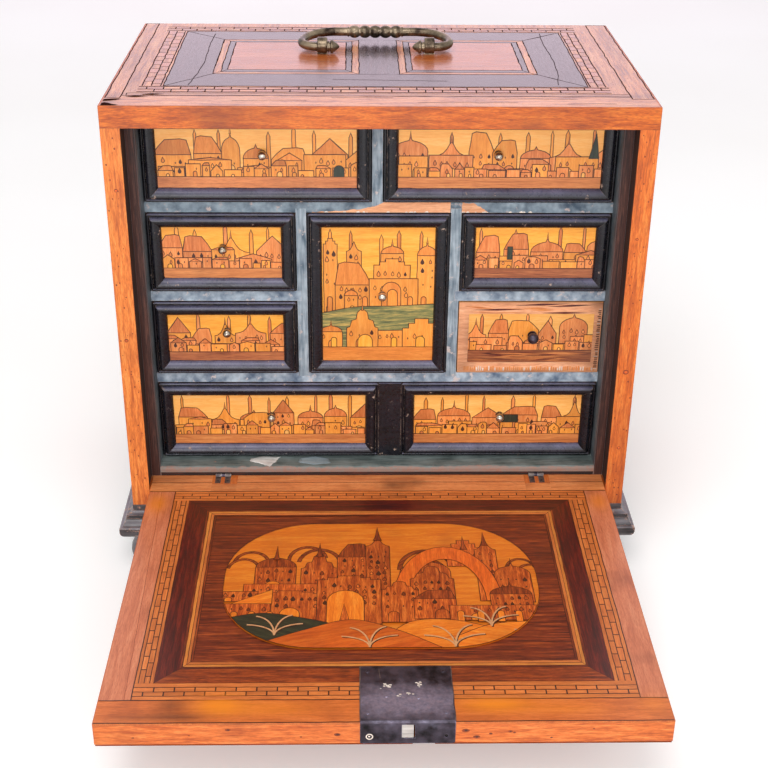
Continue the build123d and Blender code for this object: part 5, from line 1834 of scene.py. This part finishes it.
@dataclass
class Drawer:
    """One drawer: its front, box, moulding, knob and inlaid panels.

    Attributes:
        name: Its name in the bodies.
        panels: Each inlaid panel as low x, high x, low z, high z.
        seed: What its town is drawn from.
        face: Y of its front.
        framed: It has its black moulding.
        knob: The finish of its knobs.
        sky: The wood of its skies.
        soil: The wood of the ground under its town.
        walls: The woods of its houses, the last one for roofs.
        greens: Pieces of green wood let into its panels.
        margins: Width of the ground left bare at the left, right, foot and head of an unframed panel.
    """

    name: str
    panels: tuple[Box, ...]
    seed: int
    face: float = 59.6
    framed: bool = True
    knob: Coat = Coat.KNOB
    sky: Wood = Wood.SKY
    soil: Wood = Wood.DARK_GROUND
    walls: tuple[Wood, ...] = (Wood.ROSE_WALL, Wood.ROSE_WALL, Wood.WALL, Wood.ROSE_SHADE)
    greens: tuple[Outline, ...] = ()
    margins: Box = (9.0, 7.0, 10.0, 11.0)

    def dress(self) -> None:
        """Give the drawer's solids their finishes."""
        # Framed drawers take the near-black front, painted shade for the gaps round their mouldings.
        front = Board.SHADOW_GROUND if self.framed else Board.GROUND
        parts = {"front": front, "box": Board.DEAL, "moulding": Coat.EBONISED, "knob": self.knob}
        named = {f"{part}_{self.name}": choice for part, choice in parts.items()}
        dress({node: choice for node, choice in named.items() if node in frame["nodes"]})

    def inlay(self) -> None:
        """Lay the town of each panel."""
        for index, box in enumerate(self.panels):
            low_x, high_x, low_z, high_z = box
            name, bound = f"inlay_{self.name}_{index}", rect(*box)
            sheet = Sheet(name, (0, self.face, 0), Plane.FRONT, seed=self.seed + index, bound=bound, wander=0.25)
            tall = high_z - low_z
            seed = self.seed * 7 + index
            if self.name == "centre":
                self.tall_town(Town(sheet, box, seed, pane=1.4))
            elif self.framed:
                Town(sheet, box, seed, self.walls, self.sky).strip_town(tall * 0.19, self.soil)
            else:
                left, right, foot, head = self.margins
                field = (low_x + left, high_x - right, low_z + foot, high_z - head)
                Town(sheet, field, seed, self.walls, self.sky).strip_town(12, self.soil)
                self.bare_border(sheet, box)
            for shape in self.greens:
                sheet.inked(shape, Wood.DARK_GREEN, 90)
            sheet.build(f"drawer_{self.name}", "marquetry_ground")

    def tall_town(self, town: Town) -> None:
        """Towers over a green slope over a low street, for the centre drawer.

        Args:
            town: The town to build in.
        """
        low_x, high_x, low_z, high_z = town.box
        sheet = town.sheet
        sheet.lay(rect(*town.box), town.sky, 0, 0.6)
        town.minarets(5, high_z - 8, high_z - 2)
        middle = low_z + 52
        plan = (
            (low_x + 2, 58, 12, 8, Roof.STEPPED), (low_x + 84, 50, 17, 12, Roof.DOME),
            (low_x + 22, 54, 13, 9, Roof.BELL), (low_x + 12, 22, 32, 22, Roof.HIP),
            (low_x + 52, 52, 20, 9, Roof.DOME), (low_x + 46, 38, 32, 9, Roof.STEPPED),
            (low_x + 42, 24, 43, 14, Roof.FLAT), (low_x + 20, 12, 12, 7, Roof.DOME)
        )
        for x, height, width, rise, roof in plan:
            town.building(x, middle - 4, width, height + 4, rise, roof)
        town.archway(low_x + 53, middle - 4, 17, 29, town.walls[-1])
        town.archway(low_x + 58, middle - 4, 9, 22, town.walls[0])
        for offset in (5, 36, 76, 88):
            town.archway(low_x + offset, middle - 4, 4.5, 15, town.walls[-1])
        town.hill(
            [(low_x, middle - 5), (low_x + 30, middle + 1), (low_x + 66, middle + 2), (high_x, middle + 4)],
            Wood.GREEN, 3
        )
        foot = low_z + 13.5
        for x, height, width, rise, roof in (
            (low_x - 2, 15, 20, 8, Roof.DOME), (low_x + 48, 15, 30, 5, Roof.FLAT),
            (low_x + 72, 14, 34, 14, Roof.STEPPED), (low_x + 22, 19, 28, 18, Roof.CURLED)
        ):
            town.building(x, foot, width, height, rise, roof)
        for offset, width in ((32, 13), (62, 5), (8, 5), (84, 8)):
            town.archway(low_x + offset, foot, width, 8 + width * 0.35, town.sky)
        sheet.inked(rect(low_x, high_x, low_z, foot), Wood.SHADE, 0, 0.4)

    def bare_border(self, sheet: Sheet, box: Box) -> None:
        """The bare ground round the panel whose moulding is lost, with its toothed glue marks.

        Args:
            sheet: The panel's sheet.
            box: Low x, high x, low z, high z of the drawer's front.
        """
        low_x, high_x, low_z, high_z = box
        chance = random.Random(self.seed)
        sheet.bound = None
        # Soft dark marks: the front is darker along its top and bottom edges, down its right-hand edge and into its
        # corners, with stains on the border.
        sheet.stains = (
            (high_x - 3, low_z + 32, 4.5, 26, 0.75, 0.0), (high_x - 2, high_z, 8, 6, 0.7, 0.0),
            (low_x + 40, low_z + 14, 30, 4, 0.4, 0.0), (high_x - 22, low_z + 15, 18, 6, 0.45, 0.0),
            (low_x + 60, low_z, 60, 1.6, 0.6, 0.0), (low_x + 60, high_z - 1, 50, 1.2, 0.5, 0.0),
            (low_x + 8, low_z + 36, 3, 24, 0.35, 0.0), (low_x + 5, low_z + 6, 9, 5, 0.35, 0.0)
        )
        left, right, foot, head = self.margins
        foot, head = low_z + foot, high_z - head
        for piece in (
            (low_x, high_x, low_z, foot), (low_x, high_x, head, high_z), (low_x, low_x + left, foot, head),
            (high_x - right, high_x, foot, head)
        ):
            sheet.lay_fine(piece, Wood.BARE, 0, 0.3)
        for _ in range(44):
            low, high = chance.choice(((foot + 1, foot + 11), (head, high_z - 2), (foot + 1, foot + 10)))
            x, z = chance.uniform(low_x + 4, high_x - 50), chance.uniform(low, high)
            long, thick, slope = chance.uniform(20, 60), chance.uniform(0.5, 2.2), chance.uniform(-3, 2)
            long = min(long, high_x - 3 - x)
            stroke = [(x, z), (x + long * 0.5, z + slope * 0.5 - thick / 2), (x + long, z + slope)]
            stroke.append((x + long * 0.5, z + slope * 0.5 + thick / 2))
            wood = Wood.RED if chance.random() < 0.35 else Wood.GROUND
            sheet.lay(stroke, wood, 0, 0.9)
        x = low_x + 6
        while x < high_x - 3:
            tall = chance.uniform(2.5, 5.0)
            wood = Wood.CHALK if chance.random() < 0.35 else Wood.SHADE
            sheet.lay(rect(x, x + 0.9, low_z + 1.5, low_z + 1.5 + tall), wood, 90)
            x += chance.uniform(1.6, 2.2)
        z = low_z + 3
        while z < high_z - 5:
            wide = chance.uniform(1.8, 3.6)
            wood = Wood.CHALK if chance.random() < 0.3 else Wood.HOLE
            sheet.lay(rect(high_x - 1 - wide, high_x - 1, z, z + 0.8), wood, 0)
            z += chance.uniform(1.5, 2.2)

    def build(self) -> None:
        """Dress the drawer and lay its panels."""
        self.dress()
        self.inlay()


@dataclass
class Handle:
    """The bail and its two eyes.

    Attributes:
        nodes: Their solids.
    """

    nodes: tuple[str, ...] = ("bail", "handle_eyes")

    def build(self) -> None:
        """Give the bail and eyes their patinated brass."""
        dress(dict.fromkeys(self.nodes, Coat.BRONZE))


# ---- the studio
@dataclass
class Studio:
    """Floor, light and camera.

    Attributes:
        eye: Camera position in mm.
        yaw: Turn towards +X, in degrees.
        pitch: Downward tilt in degrees.
        roll: Roll in degrees.
        lens: Focal length in mm.
        reach: Half the floor's width in metres.
        glow: The floor's own light where it is seen.
        surroundings: Strength of the world's light, and how much more it has where it is seen.
    """

    eye: Place = (-20.9, -1050.9, 754.7)
    yaw: float = 1.3575
    pitch: float = 27.728
    roll: float = 0.572
    lens: float = 64.25
    reach: float = 12.0
    glow: float = 0.16
    surroundings: Point = (0.6, 0.4)

    def seen(self, tree: Tree) -> Socket:
        """Mask the rays that show the surroundings: seen, mirrored or passed through.

        Args:
            tree: The node tree it is for.

        Returns:
            A socket that is 1 for them.
        """
        path = add_node(tree, "LightPath").outputs
        total = path["Is Camera Ray"]
        for kind in ("Is Glossy Ray", "Is Transmission Ray"):
            total = add_node(tree, "Math", {0: total, 1: path[kind]}, operation="MAXIMUM").outputs[0]
        return total

    def floor(self) -> None:
        """A wide pale floor that is white to the camera and keeps the shadow."""
        mesh = bpy.data.meshes.new("studio_floor")
        corners = rect(-self.reach, self.reach, -self.reach, self.reach)
        mesh.from_pydata([(x, y, 0) for x, y in corners], [], [(0, 1, 2, 3)])
        floor = bpy.data.objects.new("studio_floor", mesh)
        bpy.context.scene.collection.objects.link(floor)
        material = bpy.data.materials.new("matt_white_paper_sweep")
        tree = fresh_tree(material)
        fine = add_node(tree, "TexNoise", {"Scale": 40.0, "Detail": 3.0})
        tint = add_node(tree, "ValToRGB", {0: fine}, stops=[(0.3, "f6f5f4"), (0.7, "fafafa")])
        skin = add_node(tree, "BsdfDiffuse", {"Color": tint, "Roughness": 1.0})
        glow = add_node(tree, "Math", {0: self.seen(tree), 1: self.glow}, operation="MULTIPLY")
        haze = add_node(tree, "Emission", {"Color": srgb("ffffff"), "Strength": glow})
        both = add_node(tree, "AddShader", {0: skin, 1: haze})
        add_node(tree, "OutputMaterial", {0: both})
        mesh.materials.append(material)

    def light(self) -> None:
        """Even white surroundings, a soft key from the upper left and a soft card behind."""
        world = bpy.data.worlds.new("soft_studio")
        bpy.context.scene.world = world
        tree = fresh_tree(world)
        base, more = self.surroundings
        strength = add_node(tree, "Math", {0: self.seen(tree), 1: more, 2: base}, operation="MULTIPLY_ADD")
        back = add_node(tree, "Background", {"Color": srgb("ffffff"), "Strength": strength})
        add_node(tree, "OutputWorld", {0: back})
        for name, place, aim, size, power, tint in (
            ("key", (-250, -1000, 2000), (0, 0, 200), 1300, 15.0, "ffffff"),
            ("fill", (1100, -1500, 1200), (0, 0, 200), 1200, 5.0, "ffffff"),
            ("front", (-250, -2400, 420), (0, 60, 280), 1500, 27.0, "ffffff"),
            ("card", (0, 2600, 1100), (0, 100, 400), 2200, 8.9, "ffcdf6")
        ):
            lamp = bpy.data.lights.new(name, "AREA")
            lamp.color = srgb(tint)[:3]
            lamp.shape = "DISK"
            lamp.size = size * MM
            lamp.energy = power
            lamp_object = bpy.data.objects.new(name, lamp)
            lamp_object.location = Vector(place) * MM
            lamp_object.rotation_mode = "QUATERNION"
            way = (Vector(aim) - Vector(place)).normalized()
            lamp_object.rotation_quaternion = way.to_track_quat("-Z", "Y")
            lamp_object.visible_camera = False
            bpy.context.scene.collection.objects.link(lamp_object)

    def camera(self) -> None:
        """The camera at the chosen viewing angle."""
        data = bpy.data.cameras.new("view")
        data.lens = self.lens
        data.sensor_width = 36.0
        data.clip_end = 60.0
        camera = bpy.data.objects.new("view", data)
        bpy.context.scene.collection.objects.link(camera)
        yaw, pitch, roll = (math.radians(a) for a in (self.yaw, self.pitch, self.roll))
        ahead = Vector((math.sin(yaw) * math.cos(pitch), math.cos(yaw) * math.cos(pitch), -math.sin(pitch)))
        right = Vector((math.cos(yaw), -math.sin(yaw), 0.0))
        above = right.cross(ahead)
        rolled = right * math.cos(roll) + above * math.sin(roll)
        upward = above * math.cos(roll) - right * math.sin(roll)
        camera.matrix_world = Matrix.Translation(Vector(self.eye) * MM) @ Matrix(
            (rolled, upward, -ahead)
        ).transposed().to_4x4()
        bpy.context.scene.camera = camera

    def build(self) -> None:
        """Set up the floor, the light, the camera and the view transform."""
        self.floor()
        self.light()
        self.camera()
        bpy.context.scene.view_settings.view_transform = "Standard"


def clear_start_scene() -> None:
    """Remove what a new file holds before anything is built."""
    keep = set(frame["nodes"].values()) | set(frame["bodies"].values())
    for thing in list(bpy.data.objects):
        if thing not in keep:
            bpy.data.objects.remove(thing)


def main() -> None:
    """Build the cabinet's looks in order."""
    logging.basicConfig(level=logging.INFO, format="%(name)s: %(message)s")
    clear_start_scene()
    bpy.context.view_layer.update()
    Case().build()
    Leaf().build()
    Handle().build()
    drawers = (
        Drawer(
            "top_left", ((-188, -18.5, 359.5, 411),), 3, sky=Wood.PALE_SKY,
            walls=(Wood.WALL, Wood.WALL, Wood.SHADE), soil=Wood.RAIL,
            greens=([(-39, 369.3), (-30, 369.3)] + arc((-34.5, 375), (4.5, 4.5), 0, 180, 8),)
        ),
        Drawer(
            "top_right", ((15, 189, 359.5, 411),), 4, sky=Wood.PALE_SKY, soil=Wood.GROUND,
            greens=([(176.5, 386), (185, 386), (181.8, 408)],)
        ),
        Drawer("upper_left", ((-188, -84.5, 276.5, 324.5),), 5, soil=Wood.GROUND),
        Drawer("upper_right", ((83, 188, 276.5, 324.5),), 6, greens=(rect(112, 116.5, 294, 306),)),
        Drawer("lower_left", ((-188, -84.5, 195.5, 241),), 7),
        Drawer("lower_right", ((71.8, 200.0, 183.5, 252.7),), 8, framed=False, knob=Coat.IRON, sky=Wood.PALE_SKY),
        Drawer("centre", ((-50.5, 49.5, 195.5, 324.5),), 9),
        Drawer(
            "bottom", ((-188, -11.5, 109, 160), (33.5, 188, 109, 160)), 10, sky=Wood.PALE_SKY,
            walls=(Wood.WALL, Wood.ROSE_WALL, Wood.ROSE_SHADE), soil=Wood.GROUND, greens=(rect(113, 130, 131, 139),)
        )
    )
    for drawer in drawers:
        drawer.build()
    Studio().build()
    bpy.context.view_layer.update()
    log.info("%d materials", material_of.cache_info().currsize)


if __name__ == "__main__":
    main()
